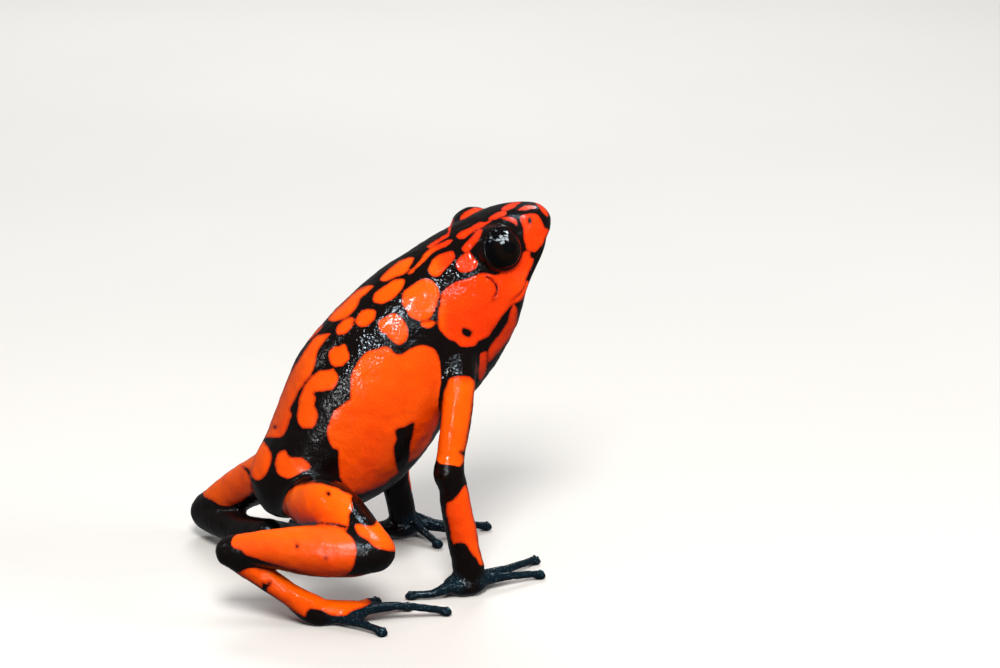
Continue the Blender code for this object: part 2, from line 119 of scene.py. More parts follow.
def ridges(gaps: np.ndarray, forms: tuple[Place, ...]) -> np.ndarray:
    """Smooth ridges and grooves, each given by its height, its middle and its width."""
    return sum(height * np.exp(-(((gaps - middle) / width) ** 2)) for height, middle, width in forms)


def beside(points: np.ndarray, start: np.ndarray, end: np.ndarray) -> tuple[np.ndarray, np.ndarray]:
    """Finds the nearest place of a straight stretch to each point.

    Args:
        points: The points, one a row.
        start: Where the stretch starts.
        end: Where it ends.

    Returns:
        How far along the stretch that place is, from 0 to 1, and the way from it to the point.
    """
    way = end - start
    from_start = points - start
    t = np.clip(from_start @ way / max(way @ way, TINY), 0, 1)
    return t, from_start - t[:, None] * way


def along_curve(rows: np.ndarray, where: np.ndarray, closed: bool = False) -> np.ndarray:
    """Rows of numbers read at fractional places, on a smooth curve through all of them.

    Args:
        rows: The rows that the curve passes through.
        where: The places to read, from 0 to the number of the last row.
        closed: Whether the curve comes back to its first row.

    Returns:
        One row of numbers for each place.
    """
    count = len(rows)
    i = np.minimum(where.astype(int), count - (1 if closed else 2))
    t = (where - i)[:, None]
    steps = [i - 1, i, i + 1, i + 2]
    steps = [s % count if closed else np.clip(s, 0, count - 1) for s in steps]
    p, q, r, s = (rows[k] for k in steps)
    cubic = (2 * p - 5 * q + 4 * r - s) * t ** 2 + (3 * q - p - 3 * r + s) * t ** 3
    return 0.5 * (2 * q + (r - p) * t + cubic)


def loft(rings: np.ndarray, first: np.ndarray, last: np.ndarray) -> Surface:
    """A closed skin through rings that all have as many points, with a pole at each end.

    Args:
        rings: The rings, as an array of ring by point by coordinate.
        first: The pole before the first ring.
        last: The pole after the last ring.

    Returns:
        The points and the faces.
    """
    count, sides, _ = rings.shape
    points = np.vstack((rings.reshape(-1, 3), first, last))
    faces: list[tuple[int, ...]] = []
    for k in range(count - 1):
        for j in range(sides):
            a, b = k * sides + j, k * sides + (j + 1) % sides
            faces.append((a, b, b + sides, a + sides))
    start, end, top = len(points) - 2, len(points) - 1, (count - 1) * sides
    for j in range(sides):
        faces.append((start, (j + 1) % sides, j))
        faces.append((end, top + j, top + (j + 1) % sides))
    return points, faces


def globe(sides: int, rings: int) -> tuple[np.ndarray, np.ndarray]:
    """The points of a ball of radius 1, without its two poles.

    Args:
        sides: Points round each ring.
        rings: Rings between the poles.

    Returns:
        Each point's angle from the first pole, and the points, by ring and by side.
    """
    angles = np.linspace(0, math.pi, rings + 2)[1:-1]
    turns = np.linspace(0, 2 * math.pi, sides, endpoint=False)
    a, b = np.meshgrid(angles, turns, indexing="ij")
    return a, np.stack((np.sin(a) * np.cos(b), np.sin(a) * np.sin(b), np.cos(a)), axis=2)


def ball(middle: Place, sizes: Place, sides: int = 32, rings: int = 18) -> Surface:
    """An egg shape with half sizes forward, left and up, in millimetres."""
    centre, half = np.array(middle), np.array(sizes)
    return loft(centre + globe(sides, rings)[1] * half, centre + UP * half, centre - UP * half)


def in_scene(name: str, data: bpy.types.ID) -> bpy.types.Object:
    """A new object at the origin, linked to the scene.

    Args:
        name: The object's name.
        data: Its mesh, lamp or camera.

    Returns:
        The object.
    """
    shape = bpy.data.objects.new(name, data)
    bpy.context.scene.collection.objects.link(shape)
    return shape


def new_object(name: str, surface: Surface) -> bpy.types.Object:
    """An object at the origin from a surface in millimetres, its faces turned outwards.

    Args:
        name: The object's name.
        surface: Places and faces.

    Returns:
        The object, linked to the scene.
    """
    mesh = bpy.data.meshes.new(name)
    mesh.from_pydata(to_metres(surface[0]).tolist(), [], surface[1])
    work = bmesh.new()
    work.from_mesh(mesh)
    bmesh.ops.recalc_face_normals(work, faces=work.faces)
    work.to_mesh(mesh)
    work.free()
    return in_scene(name, mesh)


def make_plain(shape: bpy.types.Object) -> None:
    """Carries out the object's modifiers and removes them, which leaves a plain mesh.

    Args:
        shape: The object.
    """
    bpy.context.view_layer.update()
    seen = shape.evaluated_get(bpy.context.evaluated_depsgraph_get())
    mesh = bpy.data.meshes.new_from_object(seen)
    shape.modifiers.clear()
    shape.data = mesh


def rows_in(mesh: bpy.types.Mesh, what: str) -> np.ndarray:
    """Three numbers for each point of the mesh.

    Args:
        mesh: The mesh.
        what: The property to read, co or normal.

    Returns:
        One row for each point.
    """
    flat = np.empty(len(mesh.vertices) * 3)
    mesh.vertices.foreach_get(what, flat)
    return flat.reshape(-1, 3)


def places_in(mesh: bpy.types.Mesh) -> np.ndarray:
    """The mesh's points as places in millimetres."""
    return to_places(rows_in(mesh, "co"))


def ways_in(mesh: bpy.types.Mesh) -> np.ndarray:
    """The way each point of the mesh faces, as forward, left and up."""
    across, back, up = rows_in(mesh, "normal").T
    return np.stack((-back, across, up), axis=1)


def put_places(mesh: bpy.types.Mesh, places: np.ndarray) -> None:
    """Moves the mesh's points to these places."""
    mesh.vertices.foreach_set("co", to_metres(places).ravel())
    mesh.update()


def set_values(mesh: bpy.types.Mesh, **values: np.ndarray) -> None:
    """Stores numbers for each point of the mesh, each list under its own name."""
    for name, numbers in values.items():
        mesh.attributes.new(name, "FLOAT", "POINT").data.foreach_set("value", numbers.astype(np.float32))


@dataclass(frozen=True)
class PhotoCamera:
    """The photograph's viewpoint, with sizes in millimetres, degrees and pixels."""

    turn: float = 18.0
    height: float = 16.0
    distance: float = 318.0
    pixels_a_mm: float = 10.85
    anchor: Pair = (433.0, 564.0)
    frame: Pair = (1000.0, 668.0)
    sensor: float = 36.0
    clip: Pair = (0.01, 20.0)

    def axes(self) -> tuple[np.ndarray, np.ndarray, np.ndarray]:
        """The ways to the picture's right, its top and its depth."""
        a, e = math.radians(self.turn), math.radians(self.height)
        right = np.array((math.cos(a), -math.sin(a), 0.0))
        away = np.array((math.sin(a), math.cos(a), 0.0))
        top = math.cos(e) * UP + math.sin(e) * away
        return right, top, math.cos(e) * away - math.sin(e) * UP

    def focal(self) -> float:
        """The focal length in pixels."""
        return self.pixels_a_mm * self.distance

    def eye(self) -> np.ndarray:
        """The camera's own place."""
        right, up, look = self.axes()
        across = (self.anchor[0] - self.frame[0] / 2) / self.focal() * self.distance
        above = (self.frame[1] / 2 - self.anchor[1]) / self.focal() * self.distance
        return -(across * right + above * up + self.distance * look)

    def pixels(self, places: np.ndarray) -> np.ndarray:
        """Where places appear in the photograph.

        Args:
            places: An array of places, one a row.

        Returns:
            An array of pixel coordinates, one a row.
        """
        right, up, look = self.axes()
        seen = places - self.eye()
        depth = seen @ look
        x = self.frame[0] / 2 + self.focal() * (seen @ right) / depth
        y = self.frame[1] / 2 - self.focal() * (seen @ up) / depth
        return np.stack((x, y), axis=1)

    def facing(self, places: np.ndarray, ways: np.ndarray) -> np.ndarray:
        """How squarely each point faces the camera.

        Args:
            places: The points' places.
            ways: The ways they face.

        Returns:
            One number for each point, from -1 to 1.
        """
        to_eye = self.eye() - places
        to_eye /= lengths(to_eye)[:, None]
        return np.einsum("ij,ij->i", to_eye, ways)

    def build(self) -> None:
        """Makes the scene's camera, which looks as the photograph does."""
        data = bpy.data.cameras.new("photo camera")
        data.sensor_width = self.sensor
        data.lens = self.focal() * self.sensor / self.frame[0]
        data.clip_start, data.clip_end = self.clip
        camera = in_scene("photo camera", data)
        columns = [Vector((v[1], -v[0], v[2])) for v in self.axes()]
        columns[2] = -columns[2]
        turn = Matrix(columns).transposed().to_4x4()
        camera.matrix_world = Matrix.Translation(to_point(tuple(self.eye()))) @ turn
        bpy.context.scene.camera = camera


@dataclass(frozen=True)
class Trunk:
    """Head and trunk in one skin, from the vent to the tip of the snout.

    Each station gives the point on the back and the point on the belly as forward and up, the
    half width, how square the upper and lower halves are, and how far down the body is widest.
    """

    stations: tuple[tuple[float, ...], ...] = (
        (-16.95, 10.7, -16.9, 9.3, 0.9, 2.0, 2.0, 0.5),
        (-16.25, 12.15, -16.35, 7.7, 2.4, 2.0, 2.0, 0.5),
        (-14.95, 14.25, -14.75, 6.3, 3.9, 2.05, 2.0, 0.5),
        (-13.85, 17.05, -10.0, 6.1, 5.1, 2.1, 2.0, 0.5),
        (-12.15, 20.95, -4.9, 8.0, 6.0, 2.1, 2.1, 0.53),
        (-9.25, 24.25, -1.6, 10.9, 6.4, 2.1, 2.1, 0.54),
        (-5.15, 27.7, 0.85, 14.15, 6.3, 2.1, 2.1, 0.52),
        (-1.2, 30.05, 3.7, 16.7, 5.8, 2.1, 2.1, 0.5),
        (1.85, 31.6, 5.85, 19.45, 5.4, 2.2, 2.1, 0.52),
        (4.25, 32.65, 7.45, 22.65, 5.2, 2.3, 2.1, 0.56),
        (6.45, 33.35, 8.35, 26.0, 4.5, 2.3, 2.1, 0.56),
        (8.6, 33.55, 9.8, 28.6, 3.3, 2.3, 2.1, 0.5),
        (10.25, 33.35, 10.45, 30.5, 2.2, 2.2, 2.1, 0.5),
        (11.0, 32.65, 10.65, 31.5, 1.3, 2.0, 2.0, 0.5),
    )
    vent: Place = (-17.1, 0.0, 9.95)
    snout: Place = (11.1, 0.0, 32.0)
    centre: Place = (-3.0, 0.0, 20.0)
    sides: int = 96
    rings: int = 120

    def skin(self) -> Surface:
        """The trunk's closed surface."""
        last = len(self.stations) - 1
        rows = along_curve(np.array(self.stations), np.linspace(0, last, self.rings))
        angle = np.linspace(0, 2 * math.pi, self.sides, endpoint=False)
        rise, side = np.cos(angle)[None, :], np.sin(angle)[None, :]
        back, belly = rows[:, None, 0:2], rows[:, None, 2:4]
        wide, square_up, square_low, widest = (rows[:, k][:, None] for k in (4, 5, 6, 7))
        middle = back + (belly - back) * widest[..., None]
        power = 2 / np.where(rise > 0, square_up, square_low)
        reach = np.abs(rise) ** power
        edge = np.where((rise > 0)[..., None], back, belly)
        flat = middle + (edge - middle) * reach[..., None]
        across = np.sign(side) * np.abs(side) ** power * wide
        rings = np.stack((flat[..., 0], across, flat[..., 1]), axis=2)
        return loft(rings, np.array(self.vent), np.array(self.snout))

    def distance(self, places: np.ndarray) -> np.ndarray:
        """How far places are outside the trunk.

        Args:
            places: The places to read.

        Returns:
            The distances in millimetres, negative inside.
        """
        points, faces = self.skin()
        tree = BVHTree.FromPolygons(points.tolist(), faces)
        centre = np.array(self.centre)
        result = np.empty(len(places))
        for k, place in enumerate(places):
            near, normal, _, gap = tree.find_nearest(place)
            outward = np.array(normal) @ (np.array(near) - centre) > 0
            inside = (np.array(normal) @ (place - np.array(near)) < 0) == outward
            result[k] = -gap if inside else gap
        return result


@dataclass(frozen=True)
class Limb:
    """A round stretch of a limb: each row is a place on its line and its radius there."""

    rows: tuple[tuple[Place, float], ...]
    flat: float = 1.0
    sides: int = 24
    rings: int = 30
    end_rings: int = 5
    upright: float = 0.93
    parts: int = 24

    def line(self, where: np.ndarray) -> np.ndarray:
        """Forward, left, up and radius at these places along the limb, from 0 to 1."""
        numbers = np.array([(*place, radius) for place, radius in self.rows])
        return along_curve(numbers, np.clip(where, 0, 1) * (len(numbers) - 1))

    def skin(self) -> Surface:
        """The limb's closed surface, with rounded ends."""
        read = self.line(np.linspace(0, 1, self.rings))
        middles, radii = read[:, :3], read[:, 3]
        ways = np.gradient(middles, axis=0)
        ways /= lengths(ways)[:, None]
        turns = np.pi / 2 * np.arange(1, self.end_rings + 1) / (self.end_rings + 1)

        def cap(end: int, sign: int) -> list[tuple[np.ndarray, np.ndarray, float]]:
            """The rings of one rounded end, from the limb outwards."""
            middle, way, radius = middles[end], ways[end], radii[end]
            return [(middle + sign * way * radius * math.sin(t), way, radius * math.cos(t)) for t in turns]

        stack = cap(0, -1)[::-1] + list(zip(middles, ways, radii)) + cap(-1, 1)
        angle = np.linspace(0, 2 * math.pi, self.sides, endpoint=False)[:, None]
        lean = UP if abs(ways[:, 2]).max() < self.upright else np.array((1.0, 0.0, 0.0))
        rings = []
        for middle, way, radius in stack:
            side = np.cross(way, lean)
            side /= np.linalg.norm(side)
            up = np.cross(side, way)
            rings.append(middle + (side * np.cos(angle) + up * np.sin(angle) * self.flat) * radius)
        first, last = middles[0] - ways[0] * radii[0], middles[-1] + ways[-1] * radii[-1]
        return loft(np.array(rings), first, last)

    def nearest(self, places: np.ndarray) -> tuple[np.ndarray, np.ndarray]:
        """How far places are outside the limb, and where along it they are.

        Args:
            places: An array of places, one a row.

        Returns:
            The distances, negative inside, and the places along it from 0 to 1.
        """
        read = self.line(np.linspace(0, 1, self.parts + 1))
        best, where = np.full(len(places), np.inf), np.zeros(len(places))
        for k, (start, end) in enumerate(zip(read[:-1], read[1:])):
            t, out = beside(places, start[:3], end[:3])
            gap = lengths(out) - (start[3] + t * (end[3] - start[3]))
            where = np.where(gap < best, (k + t) / self.parts, where)
            best = np.minimum(best, gap)
        return best, where

    def outside(self, places: np.ndarray) -> np.ndarray:
        """How far places are outside the limb, negative inside."""
        return self.nearest(places)[0]


LIMBS: dict[str, Limb] = {
    "right upper arm": Limb((
        ((0.6, -3.2, 22.6), 2.0), ((0.8, -5.2, 20.5), 1.75), ((0.45, -6.5, 17.9), 1.45),
        ((-0.12, -7.1, 15.0), 1.36), ((-0.55, -7.4, 12.8), 1.28), ((-0.8, -7.65, 11.2), 1.42))),
    "right forearm": Limb((
        ((-0.8, -7.65, 11.2), 1.42), ((-0.4, -7.7, 9.9), 1.3), ((-0.2, -7.8, 8.2), 1.38),
        ((0.28, -7.95, 5.55), 1.4), ((0.62, -8.1, 3.55), 1.37), ((0.9, -8.15, 1.9), 1.42))),
    "left upper arm": Limb((
        ((0.6, 3.2, 22.6), 2.0), ((0.8, 5.2, 20.5), 1.75), ((0.1, 6.5, 17.9), 1.45),
        ((-0.7, 7.1, 14.4), 1.36), ((-1.4, 7.5, 11.8), 1.28), ((-1.7, 7.65, 10.2), 1.42))),
    "left forearm": Limb((
        ((-1.7, 7.65, 10.2), 1.42), ((-1.45, 7.9, 8.2), 1.3), ((-1.1, 8.2, 5.6), 1.35),
        ((-0.7, 8.4, 3.6), 1.3), ((-0.4, 8.5, 1.9), 1.25))),
    "right thigh": Limb((
        ((-13.15, -3.5, 8.75), 2.05), ((-13.0, -6.5, 9.4), 2.15), ((-12.0, -10.0, 10.0), 2.15),
        ((-9.85, -15.0, 7.4), 1.85))),
    "right shank": Limb((
        ((-9.85, -15.0, 7.4), 1.85), ((-12.0, -13.8, 7.1), 2.15), ((-14.8, -12.0, 7.0), 2.2),
        ((-18.0, -9.9, 6.8), 1.7), ((-21.0, -8.1, 6.3), 1.35))),
    "right tarsus": Limb((
        ((-21.0, -8.1, 6.3), 1.3), ((-18.8, -9.4, 4.5), 1.12), ((-16.6, -10.8, 2.9), 1.0),
        ((-14.3, -11.6, 1.5), 1.1))),
    "left thigh": Limb((
        ((-12.6, 2.8, 10.2), 2.7), ((-13.9, 6.0, 8.1), 2.35), ((-15.6, 9.9, 5.75), 2.0),
        ((-17.65, 14.0, 2.45), 1.85))),
    "left shank": Limb((
        ((-17.65, 14.0, 2.45), 1.85), ((-17.0, 11.2, 2.5), 1.8), ((-16.3, 7.9, 2.6), 1.45),
        ((-15.6, 4.8, 3.3), 1.3), ((-14.9, 2.2, 4.0), 1.25))),
    "left tarsus": Limb((
        ((-14.9, 2.2, 4.0), 1.2), ((-13.2, 3.9, 3.1), 1.1), ((-11.2, 5.9, 2.0), 1.02),
        ((-9.6, 7.5, 1.4), 1.0))),
}


@dataclass(frozen=True)
class Paw:
    """A hand or a foot: its broad part and its digits, each from root to bend to tip."""

    broad: Surface
    sole: Limb
    digits: tuple[tuple[Place, Place, Place], ...]
    digit_radius: float = 0.4
    root_share: float = 1.6
    tip_share: float = 0.9
    disc: Place = (0.58, 0.58, 0.41)
    disc_height: float = 0.33

    def lines(self) -> list[Limb]:
        """One limb for each digit."""
        wide, thin = self.digit_radius * self.root_share, self.digit_radius * self.tip_share
        return [Limb(((root, wide), (bend, self.digit_radius), (tip, thin)), sides=16, rings=24)
                for root, bend, tip in self.digits]

    def skins(self) -> list[Surface]:
        """The closed surfaces that make up the paw, with a disc at each tip."""
        discs = [ball((tip[0], tip[1], self.disc_height), self.disc, 20, 12) for *_, tip in self.digits]
        return [self.broad, self.sole.skin(), *(line.skin() for line in self.lines()), *discs]

    def outside(self, places: np.ndarray) -> np.ndarray:
        """How far places are outside the digits, negative inside."""
        return np.min([line.outside(places) for line in self.lines()], axis=0)


PAWS: dict[str, Paw] = {
    "right hand": Paw(
        ball((0.5, -8.2, 0.85), (2.0, 1.65, 1.0)),
        Limb((((0.62, -8.1, 3.55), 1.37), ((0.9, -8.15, 1.9), 1.42), ((0.5, -8.2, 0.85), 1.0))),
        (((0.2, -7.2, 1.0), (1.2, -5.3, 0.9), (1.6, -3.9, 0.45)),
         ((1.6, -7.3, 1.0), (5.5, -5.3, 0.75), (8.9, -3.0, 0.5)),
         ((1.6, -8.3, 1.1), (4.9, -7.6, 0.9), (8.1, -6.8, 0.5)),
         ((-1.0, -8.9, 1.1), (-2.75, -9.0, 0.6), (-4.6, -8.35, 0.45)))),
    "left hand": Paw(
        ball((-0.5, 8.6, 0.85), (2.0, 1.65, 1.0)),
        Limb((((-0.7, 8.4, 3.6), 1.3), ((-0.4, 8.5, 1.9), 1.25), ((-0.5, 8.6, 0.85), 1.0))),
        (((0.2, 7.9, 1.5), (0.95, 6.3, 1.0), (1.7, 4.1, 0.45)),
         ((1.0, 8.1, 1.2), (3.2, 6.6, 0.9), (5.2, 5.2, 0.45)),
         ((1.0, 8.5, 1.5), (3.2, 7.3, 1.1), (7.55, 7.5, 0.5)),
         ((-0.9, 9.0, 1.0), (-2.8, 9.3, 0.9), (-4.6, 9.2, 0.45)))),
    "right foot": Paw(
        ball((-10.9, -12.5, 1.05), (1.05, 1.05, 1.0)),
        Limb((((-16.6, -10.8, 2.9), 1.0), ((-14.4, -11.5, 1.15), 1.25), ((-12.6, -12.0, 1.05), 1.15),
              ((-10.9, -12.5, 1.05), 1.05)), flat=0.95),
        (((-12.6, -11.6, 0.8), (-11.2, -10.2, 0.7), (-10.0, -9.1, 0.45)),
         ((-11.9, -11.9, 0.8), (-9.9, -10.2, 0.8), (-8.0, -8.8, 0.45)),
         ((-11.4, -12.2, 0.9), (-8.5, -11.6, 0.9), (-5.7, -11.0, 0.45)),
         ((-11.1, -12.6, 1.2), (-7.1, -13.1, 1.35), (-2.8, -13.2, 0.45)),
         ((-12.3, -12.8, 0.8), (-10.9, -14.7, 0.7), (-9.6, -16.3, 0.45)))),
    "left foot": Paw(
        ball((-7.5, 10.0, 0.95), (1.05, 1.05, 1.0)),
        Limb((((-11.2, 5.9, 2.0), 1.0), ((-9.9, 7.2, 1.15), 1.25), ((-8.6, 8.6, 1.05), 1.15),
              ((-7.5, 10.0, 0.95), 1.05)), flat=0.95),
        (((-8.9, 8.3, 0.8), (-7.5, 8.1, 0.7), (-6.4, 8.0, 0.45)),
         ((-8.3, 9.0, 0.8), (-6.8, 9.9, 0.8), (-5.5, 10.6, 0.45)),
         ((-7.9, 9.6, 0.8), (-6.2, 11.3, 1.0), (-4.9, 12.8, 0.45)),
         ((-8.0, 9.8, 0.9), (-6.8, 12.9, 1.2), (-5.7, 16.2, 0.5)),
         ((-8.8, 9.6, 0.8), (-9.2, 12.0, 0.7), (-9.6, 14.0, 0.45)))),
}


# The pattern, part by part, as closed outlines in the photograph's pixels
TRUNK_ORANGE: dict[str, Outline] = {
    "cheek": ((452, 284), (458, 281), (466, 279), (474, 276), (480, 273.5), (487, 273), (495, 275),
              (503, 271),
              (512, 268), (517, 262), (521, 256), (525, 251), (530, 250.5), (531, 256.5), (534, 260),
              (531.5, 268),
              (528, 275), (526, 280), (532, 283), (529, 291), (522, 300), (514, 304), (510, 307),
              (506, 312), (501, 318), (497, 324),
              (492, 331), (489, 336), (483, 339), (478, 342), (474, 346), (466, 347), (460, 346), (455, 342),
              (450, 340), (444, 335), (439, 329), (438, 322), (438, 312), (440, 305), (441, 297), (444, 290)),
    "before the eye": ((520, 217), (522.7, 214.8), (527.3, 213.7), (532.7, 213.3), (537.3, 214.5),
                       (540.4, 218),
                       (542.7, 222.5), (545, 227.5), (548.8, 229.8), (547.3, 235), (545, 239), (544, 242),
                       (540.4, 247), (537.3, 250.6), (534.2, 252.5), (530.4, 252), (527.3, 251), (525, 245),
                       (523.8, 239), (523.5, 232), (522.7, 227), (520.8, 221.4)),
    "snout tip": ((534.6, 201.4), (538.8, 202.5), (543.5, 205.6), (547.3, 210), (548.8, 214.5),
                  (547.7, 216.8),
                  (544.2, 214), (540.8, 210), (538, 206), (535, 203)),
    "snout side": ((518, 209.8), (522, 207.2), (525.8, 205.6), (530.4, 205.2), (535.8, 206.8), (535.8, 208.3),
                   (530.4, 209), (525, 210.2)),
    "snout top": ((501, 209), (505.8, 205.2), (511.2, 202.5), (516.5, 201.4), (521.2, 201.8), (518.8, 204),
                  (515, 207), (511, 209), (506.5, 211), (502.7, 211)),
    "brow": ((488.8, 218.7), (491.2, 215.6), (495.8, 213.3), (500.4, 211.4), (505.8, 210.6), (506.5, 213.3),
             (504.2, 215.6), (498.8, 218), (494.2, 219.5), (490.4, 219.8)),
    "over the eye": ((456.2, 235.6), (460.4, 232), (465.8, 229), (471, 226.8), (475.8, 224), (479.6, 221.8),
                     (485, 222.2), (489.6, 219.8), (492.7, 219), (491, 221.4), (486.5, 224.5), (482, 227.5),
                     (478, 229), (474, 231), (469.6, 234.5), (465, 238.3), (460.4, 239), (457, 237.5)),
    "upper lid": ((501.9, 219), (505.8, 217), (510.4, 216.8), (515, 218.7), (517.3, 222), (517, 226),
                  (514.6, 224),
                  (511, 221.8), (506.5, 220)),
    "behind the eye": ((461.5, 249), (462.7, 246.4), (467.3, 241.4), (472, 236), (475.8, 231), (479.6, 229),
                       (482.3, 230), (481, 235), (478.8, 240), (475.8, 243.7), (472.7, 248), (468.8, 251.4),
                       (463.5, 251.8)),
    "temple": ((456, 263), (460, 256.8), (464, 253.7), (469, 251), (472, 254.5), (475, 259), (478, 262),
               (476, 268),
               (470, 271.5), (463, 272.5), (458, 270)),
    "nape long": ((427, 247), (431, 243), (437, 239.5), (443, 236), (448, 232), (447, 224), (450, 220),
                  (453.5, 219), (452.7, 223), (451, 227), (449, 236), (443, 240), (436, 244), (430, 248)),
    "nape line": ((408, 274), (411, 270), (417, 264), (422, 257), (427, 251), (434, 246), (441, 243),
                  (448, 240),
                  (453, 240), (447, 246), (440, 249), (433, 253), (427, 259), (422, 264), (416, 269),
                  (411, 274)),
    "nape patch": ((428, 271), (430, 264), (434, 258), (440, 254), (447, 252), (453, 251), (455, 256),
                   (453, 261),
                   (449, 266), (444, 271), (439, 276), (433, 276.5)),
    "shoulder round": ((402, 297), (404, 291), (409, 287), (415, 283), (420, 279.5), (427, 278.5), (433, 281),
                       (438, 287), (439.5, 294), (438, 301), (436, 307), (433, 314), (429, 319), (423, 321),
                       (416, 320), (410, 317), (406, 310), (402, 304)),
    "upper back first": ((380, 280), (383, 275), (389, 269), (396, 263), (403, 259), (410, 257), (414, 258),
                         (411, 265), (407, 272), (401, 275.5), (393, 278), (386, 281.5)),
    "upper back second": ((373, 301), (374, 294), (378, 290), (384, 286), (390, 282), (397, 279), (404, 279),
                          (405, 283), (402, 289), (398, 294), (393, 299), (387, 302), (380, 304)),
    "back outline": ((328, 320), (331, 314), (337, 308), (344, 302), (350, 296), (356, 291), (363, 287),
                     (370, 285),
                     (374, 286), (370, 290), (365, 295), (360, 299), (358, 305), (354, 311), (348, 317),
                     (341, 320),
                     (335, 321.5)),
    "under shoulder": ((420, 324.5), (422, 322), (428, 321), (435, 321), (434.5, 325), (429, 328.5),
                       (423, 327.5)),
    "back small": ((337, 334), (336, 329), (340, 323), (345, 319), (351, 317), (354, 319), (353, 325),
                   (350, 330),
                   (345, 334), (340, 335)),
    "back middle": ((355, 322), (357, 316), (361, 311), (367, 309), (374, 309.5), (376, 312), (375, 318),
                    (371, 323), (366, 326.5), (360, 327)),
    "back glare": ((378, 322), (383, 318), (390, 314), (395, 313), (400, 316), (405, 322), (408, 329),
                   (408, 337),
                   (404, 343), (398, 345), (393, 342), (389, 338), (385, 334), (380, 331)),
    "back rim": ((307, 338), (309, 333), (314, 327), (319, 323), (323, 322), (322, 327), (318, 332),
                 (312, 338),
                 (308, 341)),
    "long stripe": ((331, 333.5), (328, 337), (322, 345), (318, 351), (316, 360), (314, 369), (309, 378),
                    (302, 386), (297, 395), (294, 402), (290, 409), (292, 414), (290, 420), (288, 427),
                    (285, 433),
                    (281, 437), (275, 438), (267, 437.5), (264, 438), (267, 430), (271, 417), (277, 400),
                    (281, 392), (286, 382), (291, 372), (297, 362), (303, 353), (309, 344), (316, 336),
                    (323, 334)),
    "back round": ((329, 352), (333, 347), (339, 346), (344, 343.5), (347, 346), (348, 351), (350, 356),
                   (348, 361),
                   (342, 366), (336, 367), (331, 364), (328.5, 358)),
    "hook": ((336, 372), (333, 368.5), (327, 370), (319, 371), (312, 376), (306, 383), (302, 391), (299, 398),
             (298, 407), (297, 415), (298, 423), (302, 428), (309, 428.5), (314, 427), (317, 421), (318, 413),
             (315, 406), (316, 398), (314, 393), (318, 392), (325, 391), (332, 390), (336, 386), (338.5, 380),
             (338, 375)),
    "flank": ((350, 399), (350, 388), (351, 376), (355, 366), (361, 357), (368, 351), (376, 349), (384, 346),
              (390, 348), (395, 353), (400, 354), (405, 352), (411, 348), (418, 345.5), (425, 345),
              (431, 347),
              (436, 350), (439, 357), (442, 366), (445, 376), (447, 383), (444, 396), (441, 410), (438, 424),
              (433, 434), (430, 442), (424, 450), (418, 457), (411, 461), (404, 468), (397, 474), (390, 480),
              (382, 486), (372, 490), (360, 494), (352, 492), (345, 485), (340, 478), (339, 470), (338, 460),
              (338, 450), (334, 449), (330, 444), (327, 436), (327, 428), (330, 420), (334, 411), (340, 406),
              (347, 401)),
    "rump": ((262, 441), (266, 444), (270, 450), (272, 458), (270, 466), (267, 473), (262, 479), (256, 480),
             (251, 476), (250, 468), (252, 458), (256, 449)),
    "rump low": ((275, 465), (276, 457), (279, 452), (285, 450), (288, 454), (291, 457), (297, 457),
                 (303, 458),
                 (308, 462), (311, 466), (309, 470), (303, 472), (298, 476), (292, 479), (284, 478),
                 (278, 474)),
    "throat": ((513, 304), (517, 308), (517, 320), (515, 330), (510, 338), (503, 347), (497, 354), (489, 362),
               (488, 352), (492, 343), (498, 336), (504, 328), (508, 320), (510, 312)),
    "chest": ((478, 355), (482, 352), (487, 352), (487, 362), (486, 372), (482, 379), (479, 380), (478, 370),
              (476, 362)),
}
LEFT_LID_ORANGE: dict[str, Outline] = {
    "left lid": ((459.6, 219), (462.7, 214), (468, 210.2), (473.5, 208), (479.6, 207.5), (483.5, 208.7),
                 (485.4, 211.8),
                 (483.5, 215), (479.6, 217.5), (474, 220), (469.6, 222), (465.4, 223), (462, 222.5)),
}
TRUNK_BLACK: dict[str, Outline] = {
    # painted shade: the nostril's opening is painted black
    "nostril": ((528.3, 218.5), (530.2, 217.8), (531.3, 220.5), (530.6, 223.8), (528.9, 222.5)),
    "ear rim": ((486, 276), (492.4, 279.7), (496.7, 285.6), (497.7, 291), (495.7, 296.2), (492, 299.5),
                (494.6, 295.6), (496.4, 290.8), (495.3, 286.1), (491.5, 280.8)),
    "cheek dot": ((463, 328), (467, 329), (472, 332), (469, 337), (464, 335), (462, 331)),
    "stripe dot": ((273.5, 427), (275, 425.5), (276.5, 427), (275, 428.5)),
    "groin wedge": ((414, 423), (410, 424), (405, 427), (396, 430), (397, 440), (394, 447), (395, 458),
                    (398, 470),
                    (401, 474), (406, 466), (409, 458), (410, 445), (413, 432)),
}
ARM_ORANGE: dict[str, Outline] = {
    "upper arm": ((447, 384), (450, 378), (457, 376), (466, 376), (472, 378), (475, 384), (474, 396),
                  (471, 415),
                  (468, 435), (465, 450), (460, 452), (464, 456), (465, 464), (462, 471), (449, 470),
                  (437, 470),
                  (434, 462), (436, 450), (439, 430), (442, 405), (444, 392)),
    "forearm": ((463, 485), (466, 484), (470, 495), (473, 510), (477, 530), (479, 545), (482, 558),
                (484, 564),
                (480, 565), (476, 558), (473, 556), (470, 551), (467, 546), (463, 543), (457, 543),
                (453, 544),
                (451, 536), (449, 525), (446, 512), (447, 503), (452, 500), (457, 495), (460, 490)),
}
KNEE_ORANGE: Outline = (
    (354.5, 527), (357, 523.5), (366, 525), (374, 525), (378, 517), (384, 521), (390, 532), (397, 550),
    (390, 551),
    (384, 550), (378, 549), (372, 545), (367, 540), (361, 537), (357, 533))
